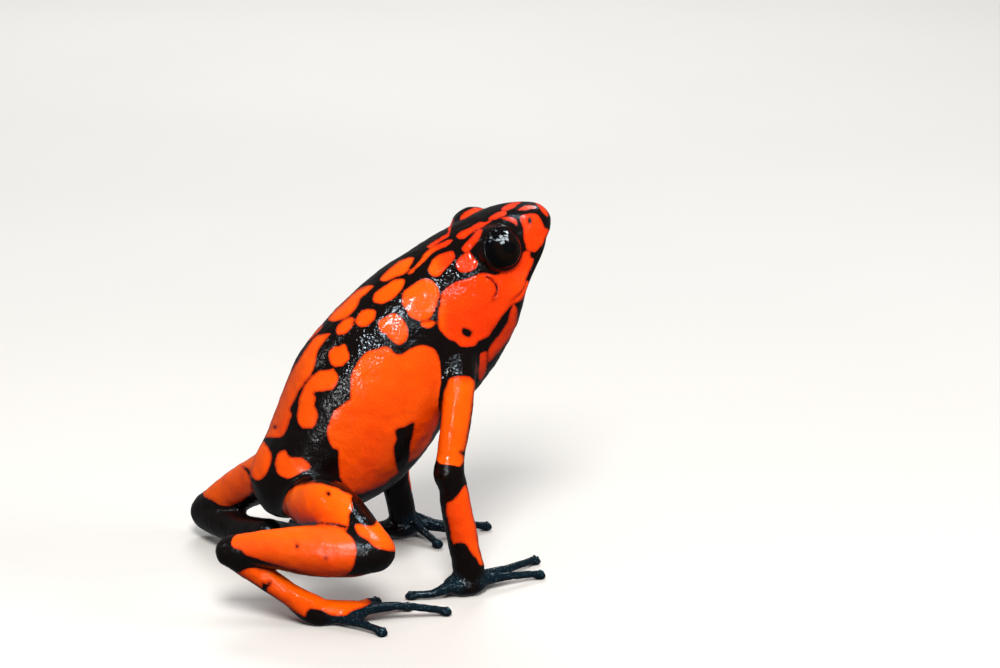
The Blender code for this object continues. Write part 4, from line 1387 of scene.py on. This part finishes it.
@dataclass
class FrogSkin:
    """The one skin that covers the whole frog, with sizes in millimetres.

    Each smoothing gives its number of rounds, and how much of a round is taken back.
    """

    trunk: Trunk
    face: Face
    pattern: Pattern
    finish: SkinFinish
    voxel: float = 0.243
    roots: tuple[str, ...] = ("right upper arm", "left upper arm", "right thigh", "left thigh")
    joint_reach: float = 1.3
    joint_smoothing: tuple[int, float] = (45, 0.0)
    whole_smoothing: tuple[int, float] = (10, 0.52)
    eye_smoothing: tuple[int, float] = (6, 0.0)
    fine_smoothing: tuple[int, float] = (3, 0.5)
    near_eyes: Pair = (5.0, 3.0)
    fine_widths: Pair = (2.0, 1.0)
    mouth_fine: float = 0.5
    mouth_from: float = 5.4
    lid_fine: Place = (2.8, 0.4, 16.0)
    nostril_fine: float = 0.7
    ear_fine: float = 1.5
    off_middle: float = 0.3
    lump_wave: float = 1.15
    lump_height: float = 0.05
    lump_seed: int = 5
    digit_ends: Pair = (0.9, 0.2)
    head_from: tuple[Pair, Pair] = ((4.0, 6.5), (24.0, 26.0))

    def gathered(self) -> Surface:
        """All the closed forms that the skin wraps, in one list of points and faces."""
        parts = [self.trunk.skin(), *self.face.mounds(), *(limb.skin() for limb in LIMBS.values())]
        for paw in PAWS.values():
            parts += paw.skins()
        points, faces, start = [], [], 0
        for places, sides in parts:
            points.append(places)
            faces += [tuple(k + start for k in side) for side in sides]
            start += len(places)
        return np.vstack(points), faces

    def smoothed(self, mesh: bpy.types.Mesh, places: np.ndarray, amount: np.ndarray, rounds: int,
                 back: float) -> np.ndarray:
        """Evens out the skin, each point by its own amount.

        Args:
            mesh: The mesh, for its edges.
            places: Its places.
            amount: From 0, which leaves a point alone, to 1.
            rounds: How many times.
            back: How much of each round is taken back, which keeps thin forms thick.

        Returns:
            The moved places.
        """
        edges = np.empty(len(mesh.edges) * 2, int)
        mesh.edges.foreach_get("vertices", edges)
        a, b = edges.reshape(-1, 2).T
        count = np.maximum(np.bincount(edges, minlength=len(places)), 1)
        result = places.copy()
        for _ in range(rounds):
            for step in (0.5, -back) if back else (0.5,):
                total = np.zeros_like(result)
                for axis in range(3):
                    total[:, axis] += np.bincount(a, weights=result[b, axis], minlength=len(result))
                    total[:, axis] += np.bincount(b, weights=result[a, axis], minlength=len(result))
                result = result + (total / count[:, None] - result) * (amount * step)[:, None]
        return result

    def folds(self, places: np.ndarray, wide: float) -> np.ndarray:
        """Which points lie near a fold of the head: the mouth, a lid, a nostril or an ear.

        Args:
            places: The skin's places.
            wide: How wide the strips along the folds are, 1 for the narrowest.

        Returns:
            True or False for each point.
        """
        face, flat = self.face, places[:, SIDE_VIEW]
        near = np.abs(face.mouth_distance(places)) < self.mouth_fine * wide
        near &= places[:, 0] > self.mouth_from
        reach, reach_more, band = self.lid_fine
        for side in Side:
            _, far, angle = face.around(places, side)
            near |= (far < reach + reach_more * wide) & (np.abs(angle - face.opening - 2) < band * wide)
            hole = lengths(flat - face.nostril) < self.nostril_fine * wide
            ring = lengths(flat - face.ear) < self.ear_fine * (wide - 1)
            near |= (hole | ring) & (places[:, 1] * side.value > self.off_middle)
        return near

    def refine(self, mesh: bpy.types.Mesh) -> None:
        """Gives the folds of the head a finer mesh, finest in the middle of each.

        Args:
            mesh: The skin's mesh.
        """
        for wide in self.fine_widths:
            wanted = self.folds(places_in(mesh), wide)
            work = bmesh.new()
            work.from_mesh(mesh)
            work.verts.ensure_lookup_table()
            edges = [e for e in work.edges if wanted[e.verts[0].index] and wanted[e.verts[1].index]]
            bmesh.ops.subdivide_edges(work, edges=edges, cuts=1, use_grid_fill=True, smooth=0.0)
            bmesh.ops.triangulate(work, faces=[f for f in work.faces if len(f.verts) > 4])
            work.to_mesh(mesh)
            work.free()
            places = places_in(mesh)
            new = np.ones(len(places))
            new[: len(wanted)] = wanted
            put_places(mesh, self.smoothed(mesh, places, new, *self.fine_smoothing))

    def lumps(self, places: np.ndarray) -> np.ndarray:
        """Low uneven swellings of the skin, in millimetres."""
        noise.seed_set(self.lump_seed)
        heights = [noise.fractal(Vector(p) / self.lump_wave, 0.6, 2.0, 2) for p in places]
        return np.array(heights) * self.lump_height

    def build(self, effects: SharedEffects) -> bpy.types.Object:
        """Makes the skin, shapes its face, paints it and dresses it.

        Args:
            effects: The shared shader groups.

        Returns:
            The finished object.
        """
        shape = new_object("frog_skin", self.gathered())
        melt = shape.modifiers.new("one skin", "REMESH")
        melt.mode = "VOXEL"
        melt.voxel_size = self.voxel * MM
        make_plain(shape)
        mesh = shape.data
        LOG.info("skin melted: %d points", len(mesh.vertices))

        places = places_in(mesh)
        from_roots = np.min([LIMBS[name].outside(places) for name in self.roots], axis=0)
        from_joints = np.abs(self.trunk.distance(places)) + np.abs(from_roots)
        joints = np.exp(-((from_joints / self.joint_reach) ** 2))
        places = self.smoothed(mesh, places, joints, *self.joint_smoothing)
        places = self.smoothed(mesh, places, np.ones(len(places)), *self.whole_smoothing)
        eyes = np.min([lengths(places - self.face.eye(side)[0]) for side in Side], axis=0)
        places = self.smoothed(mesh, places, soft_step(*self.near_eyes, eyes), *self.eye_smoothing)
        put_places(mesh, places)
        self.refine(mesh)
        LOG.info("skin refined: %d points", len(mesh.vertices))

        places = self.face.seat_eyes(places_in(mesh))
        put_places(mesh, places)
        toes = soft_step(*self.digit_ends, np.min([paw.outside(places) for paw in PAWS.values()], axis=0))
        ahead, above = self.head_from
        head = soft_step(*ahead, places[:, 0]) * soft_step(*above, places[:, 2])
        lift = self.face.relief(places) + self.lumps(places) * (1 - head) * (1 - toes)
        places = places + ways_in(mesh) * lift[:, None]
        places[:, 2] = np.maximum(places[:, 2], 0.0)
        put_places(mesh, places)

        self.paint(mesh, toes, head)
        mesh.materials.clear()
        mesh.materials.append(self.finish.build(effects))
        mesh.shade_smooth()
        LOG.info("skin done: %d points, %d faces", len(mesh.vertices), len(mesh.polygons))
        return shape

    def left_arm(self, places: np.ndarray, ways: np.ndarray, part: str) -> np.ndarray:
        """The left arm's pattern, read from the right arm as in a mirror.

        Args:
            places: The points' places.
            ways: The ways they face.
            part: Which stretch of the arm, upper arm or forearm.

        Returns:
            The distance from the edge in millimetres, positive on orange.
        """
        left, right = LIMBS["left " + part], LIMBS["right " + part]
        where = left.nearest(places)[1]
        offset = (places - left.line(where)[:, :3]) * MIRROR
        mark = self.pattern.drawn(right.line(where)[:, :3] + offset, ARM_ORANGE)
        return np.minimum(mark, (ways[:, 1] + 0.25) * 2 + np.maximum(ways[:, 0], 0))

    def paint(self, mesh: bpy.types.Mesh, toes: np.ndarray, head: np.ndarray) -> None:
        """Stores the pattern, its tone, the wet and the grain on the mesh.

        Every part of the frog has a row: how far points are outside it, its pattern, its tone from red to yellow
        orange, and how wet it is. The tone then takes painted light and shade: yellower where the skin faces up,
        redder where the front of the head faces down.

        Args:
            mesh: The skin's mesh.
            toes: How much each point belongs to a digit.
            head: How much each point belongs to the smooth front of the head.
        """
        places, ways = places_in(mesh), ways_in(mesh)
        forward, up, drawn = places[:, 0], places[:, 2], self.pattern.drawn
        far = np.full(len(places), self.pattern.far)
        before_rear = soft_step(-12.5, -9.0, forward)
        back_wet = 0.45 + 0.55 * soft_step(0.12, 0.42, ways[:, 2]) * before_rear
        trunk_mark = self.pattern.trunk(places, ways, self.face.socket_depth(places))
        forearm = {"forearm": ARM_ORANGE["forearm"]}
        shoulder = {"upper arm": ARM_ORANGE["upper arm"], "cheek": TRUNK_ORANGE["cheek"]}
        looks = {
            "right upper arm": (drawn(places, shoulder), 0.75, 1.0),
            "right forearm": (drawn(places, forearm), 0.3, 0.6),
            "left upper arm": (self.left_arm(places, ways, "upper arm"), 0.6, 1.0),
            "left forearm": (self.left_arm(places, ways, "forearm"), 0.3, 0.6),
            "right thigh": (drawn(places, THIGH_ORANGE, THIGH_BLACK), 0.65, 1.0),
            "right shank": (drawn(places, SHANK_ORANGE, SHANK_BLACK), 0.4, 0.0),
            "right tarsus": (drawn(places, TARSUS_ORANGE, TARSUS_BLACK), 0.4, 0.9),
            "left thigh": (drawn(places, LEFT_THIGH_ORANGE, LEFT_THIGH_BLACK), 0.5, 0.8),
            "left shank": (far, 0.4, 0.3),
            "left tarsus": (far, 0.4, 0.3),
        }
        zones = [(self.trunk.distance(places), trunk_mark, 0.42, back_wet)]
        zones += [(LIMBS[name].outside(places), *look) for name, look in looks.items()]
        reaching = {"right foot": drawn(places, TARSUS_ORANGE), "right hand": drawn(places, forearm)}
        for name, paw in PAWS.items():
            mark = reaching.get(name, far)
            zones.append((paw.sole.outside(places), mark, 0.4, 0.7))
            zones.append((paw.outside(places) - 0.05, mark, 0.4, 0.9))
        weights = np.array([np.exp(-np.clip(zone[0], -1.0, 6.0) / 0.14) for zone in zones])
        weights /= weights.sum(0)
        mark, tone, wet = (sum(weight * zone[part] for weight, zone in zip(weights, zones))
                           for part in (1, 2, 3))
        # Painted light and shade in the tone: yellower where the skin faces up, redder where the front of the
        # head faces down
        head_underside_shade = soft_step(-1.2, 0.6, forward) * soft_step(-0.7, -0.2, ways[:, 2])
        head_underside_shade *= np.maximum(weights[0], soft_step(19.2, 20.2, up))
        tone += 0.35 * ways[:, 2] - 0.72 * head_underside_shade
        grain = np.clip(1 - 0.8 * head - 0.2 * toes - 0.6 * (1 - before_rear), 0.15, 1)
        wet = wet * (1 - 0.5 * head)
        set_values(mesh, mark=mark, tone=np.clip(tone, 0, 1), toe=toes, wet=wet, grain=grain)


@dataclass
class Eyeball:
    """One dark eye in its lids."""

    side: Side
    face: Face
    finish: EyeFinish
    sides: int = 72
    rings: int = 48
    bulge: float = 0.05
    bulge_ends: Pair = (50.0, 0.0)

    def build(self, effects: SharedEffects) -> bpy.types.Object:
        """Makes the eye with its slightly raised front.

        Args:
            effects: The shared shader groups.

        Returns:
            The finished object.
        """
        middle, look = self.face.eye(self.side)
        level = np.cross(look, UP)
        level /= np.linalg.norm(level)
        rise = np.cross(level, look)
        angle, unit = globe(self.sides, self.rings)
        radius = self.face.eye_radius + self.bulge * soft_step(*self.bulge_ends, np.degrees(angle))
        rings = middle + unit @ np.array((level, rise, look)) * radius[..., None]
        front = middle + look * (self.face.eye_radius + self.bulge)
        name = "eyeball_" + self.side.name.lower()
        shape = new_object(name, loft(rings, front, middle - look * self.face.eye_radius))
        out = (places_in(shape.data) - middle) / self.face.eye_radius
        set_values(shape.data, gaze_level=np.where(out @ look > 0, out @ level, 1.0), gaze_rise=out @ rise)
        shape.data.materials.append(self.finish.build(effects))
        shape.data.shade_smooth()
        LOG.info("%s done", name)
        return shape


@dataclass
class DiscPlates:
    """The pair of small raised plates on top of every toe disc, set by a node tree."""

    finish: DiscFinish
    length: float = 0.36
    width: float = 0.25
    height: float = 0.1
    apart: float = 0.2
    forward: float = 0.16
    drop_from: float = 3.0

    def spots(self, skin: bpy.types.Object) -> tuple[list[Vector], list[Place]]:
        """Where the plates sit on the skin and how they are turned.

        Args:
            skin: The finished skin.

        Returns:
            Points in metres and turns in radians.
        """
        tree = BVHTree.FromObject(skin, bpy.context.evaluated_depsgraph_get())
        points, turns = [], []
        for _, bend, tip in (digit for paw in PAWS.values() for digit in paw.digits):
            way = (to_point((tip[0], tip[1], 0)) - to_point((bend[0], bend[1], 0))).normalized()
            across = Vector((-way.y, way.x, 0))
            for side in (-1, 1):
                spot = to_point((tip[0], tip[1], self.drop_from))
                spot += (way * self.forward + across * side * self.apart) * MM
                hit, normal, _, _ = tree.ray_cast(spot, Vector((0, 0, -1)))
                if hit is None:
                    continue
                turn = normal.to_track_quat("Z", "Y")
                flat = turn.inverted() @ way
                spin = Matrix.Rotation(math.atan2(flat.y, flat.x) - math.pi / 2, 3, "Z")
                points.append(hit)
                turns.append(tuple((turn.to_matrix() @ spin).to_euler()))
        return points, turns

    def tree(self) -> bpy.types.NodeTree:
        """A node tree that sets one plate on every point."""
        nodes = Nodes(bpy.data.node_groups.new("disc plates", "GeometryNodeTree"))
        for name, kind in (("Geometry", "Geometry"), ("Length", "Float"), ("Width", "Float"),
                           ("Height", "Float"), ("Material", "Material")):
            nodes.tree.interface.new_socket(name, in_out="INPUT", socket_type="NodeSocket" + kind)
        nodes.tree.interface.new_socket("Geometry", in_out="OUTPUT", socket_type="NodeSocketGeometry")
        given = nodes.add("NodeGroupInput").outputs
        points = nodes.add("GeometryNodeMeshToPoints", {"Mesh": given["Geometry"]})
        plate = nodes.add("GeometryNodeMeshUVSphere", {"Segments": 16, "Rings": 8, "Radius": 1.0})
        size = nodes.add("ShaderNodeCombineXYZ", {0: given["Width"], 1: given["Length"], 2: given["Height"]})
        sized = nodes.add("GeometryNodeTransform", {"Geometry": plate.outputs["Mesh"], "Scale": size.outputs[0]})
        turn = nodes.add("GeometryNodeInputNamedAttribute", {"Name": "turn"}, data_type="FLOAT_VECTOR")
        change = nodes.add("FunctionNodeRandomValue", {2: 0.88, 3: 1.1, "Seed": 4}, data_type="FLOAT")
        set_on = nodes.add("GeometryNodeInstanceOnPoints", {
            "Points": points.outputs["Points"], "Instance": sized.outputs["Geometry"],
            "Rotation": turn.outputs["Attribute"], "Scale": change.outputs[1]})
        real = nodes.add("GeometryNodeRealizeInstances", {"Geometry": set_on.outputs["Instances"]})
        smooth = nodes.add("GeometryNodeSetShadeSmooth", {"Geometry": real.outputs["Geometry"]})
        dress = nodes.add("GeometryNodeSetMaterial", {"Geometry": smooth.outputs["Geometry"],
                                                      "Material": given["Material"]})
        nodes.add("NodeGroupOutput", {"Geometry": dress.outputs["Geometry"]})
        return nodes.tree

    def build(self, skin: bpy.types.Object, effects: SharedEffects) -> bpy.types.Object:
        """Makes all the plates as one mesh.

        Args:
            skin: The finished skin.
            effects: The shared shader groups.

        Returns:
            The finished object.
        """
        points, turns = self.spots(skin)
        mesh = bpy.data.meshes.new("disc_plates")
        mesh.from_pydata(points, [], [])
        layer = mesh.attributes.new("turn", "FLOAT_VECTOR", "POINT")
        layer.data.foreach_set("vector", np.array(turns, np.float32).ravel())
        shape = in_scene("disc_plates", mesh)
        modifier = shape.modifiers.new("plates", "NODES")
        modifier.node_group = self.tree()
        given = {"Length": self.length / 2 * MM, "Width": self.width / 2 * MM, "Height": self.height * MM,
                 "Material": self.finish.build(effects)}
        for item in modifier.node_group.interface.items_tree:
            if item.in_out == "INPUT" and item.name in given:
                modifier[item.identifier] = given[item.name]
        make_plain(shape)
        LOG.info("%d disc plates done", len(points))
        return shape


class Shine(Enum):
    """What a lamp gives: even light without glare, glare on the skin, or glare on the eyes."""

    SOFT = "soft"
    SKIN_GLARE = "skin glare"
    EYE_GLARE = "eye glare"


@dataclass(frozen=True)
class Lamp:
    """One rectangular lamp that points at the frog.

    turn is in degrees round from the frog's right side towards its front, height in degrees
    above level, far and size in millimetres, and power in watts.
    """

    name: str
    turn: float
    height: float
    far: float
    size: Pair
    power: float
    shine: Shine = Shine.SOFT
    colour: Place = (1.0, 1.0, 1.0)
    aim_height: float = 16.0

    def build(self, shines_on: dict[Shine, list[bpy.types.Object]]) -> None:
        """Makes the lamp.

        Args:
            shines_on: The pieces that each kind of glare is limited to.
        """
        data = bpy.data.lights.new(self.name, "AREA")
        data.shape = "RECTANGLE"
        data.size, data.size_y = self.size[0] * MM, self.size[1] * MM
        data.energy = self.power
        data.color = self.colour
        shape = in_scene(self.name, data)
        a, e = math.radians(self.turn), math.radians(self.height)
        way = Vector((-math.cos(a) * math.cos(e), -math.sin(a) * math.cos(e), math.sin(e)))
        middle = Vector((0, 0, self.aim_height * MM))
        turned = way.to_track_quat("Z", "Y").to_matrix().to_4x4()
        shape.matrix_world = Matrix.Translation(middle + way * self.far * MM) @ turned
        glares = self.shine in shines_on
        shape.visible_camera = False
        shape.visible_glossy, shape.visible_diffuse = glares, not glares
        if glares:
            lit = bpy.data.collections.new(self.name + " shines on")
            for piece in shines_on[self.shine]:
                lit.objects.link(piece)
            shape.light_linking.receiver_collection = lit


@dataclass
class Studio:
    """A pale floor, soft lamps, small lamps for the wet glare, and an even backdrop light."""

    floor_half: float = 2.0
    floor_colour: Colour = (0.7, 0.68, 0.65, 1.0)
    floor_cloud: float = 9.0
    floor_darker: float = 0.96
    floor_roughness: float = 0.75
    backdrop: Colour = (0.5, 0.51, 0.53, 1.0)
    backdrop_strength: float = 0.25
    lamps: tuple[Lamp, ...] = (
        Lamp("key lamp", -18, 48, 320, (90, 120), 1.25, colour=(1.0, 0.98, 0.95)),
        Lamp("top lamp", 60, 84, 420, (360, 360), 0.5, colour=(0.95, 0.98, 1.0)),
        Lamp("front lamp", 64, 22, 420, (160, 140), 0.75),
        Lamp("far lamp", 165, 40, 450, (200, 160), 1.2, colour=(0.96, 0.98, 1.0)),
        Lamp("back glare", -37, 46, 420, (40, 60), 1.1, Shine.SKIN_GLARE, (0.72, 0.88, 1.0)),
        Lamp("arm glare", -40, 14, 420, (16, 70), 0.45, Shine.SKIN_GLARE, (0.95, 0.98, 1.0)),
        Lamp("leg glare", -106, 35, 420, (30, 50), 0.1, Shine.SKIN_GLARE, (0.95, 0.98, 1.0)),
        Lamp("sky glare", 78, 80, 420, (60, 60), 0.45, Shine.SKIN_GLARE, (0.62, 0.85, 1.0)),
        Lamp("shoulder glare", -18, 28, 420, (24, 40), 0.13, Shine.SKIN_GLARE, (0.7, 0.88, 1.0)),
        Lamp("foot glare", 6, 37, 420, (50, 30), 0.22, Shine.SKIN_GLARE, (0.7, 0.88, 1.0)),
        Lamp("snout glare", 150, 33, 420, (40, 30), 0.08, Shine.SKIN_GLARE, (0.85, 0.95, 1.0)))
    panes: tuple[tuple[float, float, Pair, float], ...] = (
        (28, 66, (120, 90), 2.4), (61, 56, (80, 110), 1.9), (8, 52, (110, 70), 1.7), (-20, 66, (90, 80), 1.6),
        (95, 62, (70, 90), 1.4), (128, 46, (60, 80), 0.8), (40, 80, (100, 60), 1.3), (-80, 48, (90, 60), 0.4),
        (-120, 40, (70, 60), 0.3), (-150, 50, (90, 70), 0.4), (-178, 38, (60, 60), 0.3), (-50, 60, (60, 40), 0.3),
        (-100, 62, (60, 50), 0.35), (170, 58, (60, 50), 0.4))
    pane_far: float = 400.0
    pane_colour: Place = (0.8, 0.93, 1.0)

    def floor(self) -> None:
        """The floor, just under the frog, which throws no light back on the skin."""
        mesh = bpy.data.meshes.new("floor")
        h = self.floor_half
        mesh.from_pydata([(-h, -h, 0), (h, -h, 0), (h, h, 0), (-h, h, 0)], [], [(0, 1, 2, 3)])
        shape = in_scene("floor", mesh)
        shape.visible_glossy = shape.visible_diffuse = False
        material, nodes, shader = new_material("pale floor")
        darker = tuple(self.floor_darker * c for c in self.floor_colour)
        tint = nodes.blend(nodes.ramp(nodes.cloud(self.floor_cloud, 4.0), 0.3, 0.7), self.floor_colour, darker)
        nodes.feed(shader, {"Base Color": tint, "Roughness": self.floor_roughness})
        mesh.materials.append(material)
        shape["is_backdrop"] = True

    def build(self, shines_on: dict[Shine, list[bpy.types.Object]]) -> None:
        """Sets up floor, lamps and backdrop.

        Args:
            shines_on: The pieces that each kind of glare is limited to.
        """
        self.floor()
        for lamp in self.lamps:
            lamp.build(shines_on)
        for number, (turn, height, size, power) in enumerate(self.panes, 1):
            Lamp(f"eye pane {number}", turn, height, self.pane_far, size, power, Shine.EYE_GLARE,
                 self.pane_colour).build(shines_on)
        world = bpy.data.worlds.new("backdrop")
        world.use_nodes = True
        light = world.node_tree.nodes["Background"]
        light.inputs["Color"].default_value = self.backdrop
        light.inputs["Strength"].default_value = self.backdrop_strength
        bpy.context.scene.world = world
        bpy.context.scene.view_settings.view_transform = "Standard"
        LOG.info("studio done")


FLESH = ("head", "torso") + tuple(
    f"{part}_{side}" for side in ("left", "right")
    for part in ("upper_arm", "forearm", "hand", "thigh", "shank", "tarsus", "foot")
)


def corners() -> list[list[float]]:
    """The shown object's lowest and highest corners, as plain lists."""
    return [list(corner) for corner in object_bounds()]


def main() -> None:
    """Builds the frog's pieces in order, dresses them, and sets the scene."""
    logging.basicConfig(level=logging.INFO, format="%(message)s")
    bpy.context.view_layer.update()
    camera = PhotoCamera()
    camera.build()
    effects = SharedEffects()
    face = Face()
    skin = FrogSkin(Trunk(), face, Pattern(camera), SkinFinish()).build(effects)
    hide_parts(*FLESH)
    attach(skin, "root")
    eyes = []
    for side in Side:
        eye = Eyeball(side, face, EyeFinish()).build(effects)
        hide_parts("eye_" + side.name.lower())
        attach(eye, "root")
        eyes.append(eye)
    plates = DiscPlates(DiscFinish()).build(skin, effects)
    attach(plates, "root")
    Studio().build({Shine.SKIN_GLARE: [skin, plates], Shine.EYE_GLARE: eyes})
    LOG.info("all pieces done")


if __name__ == "__main__":
    main()
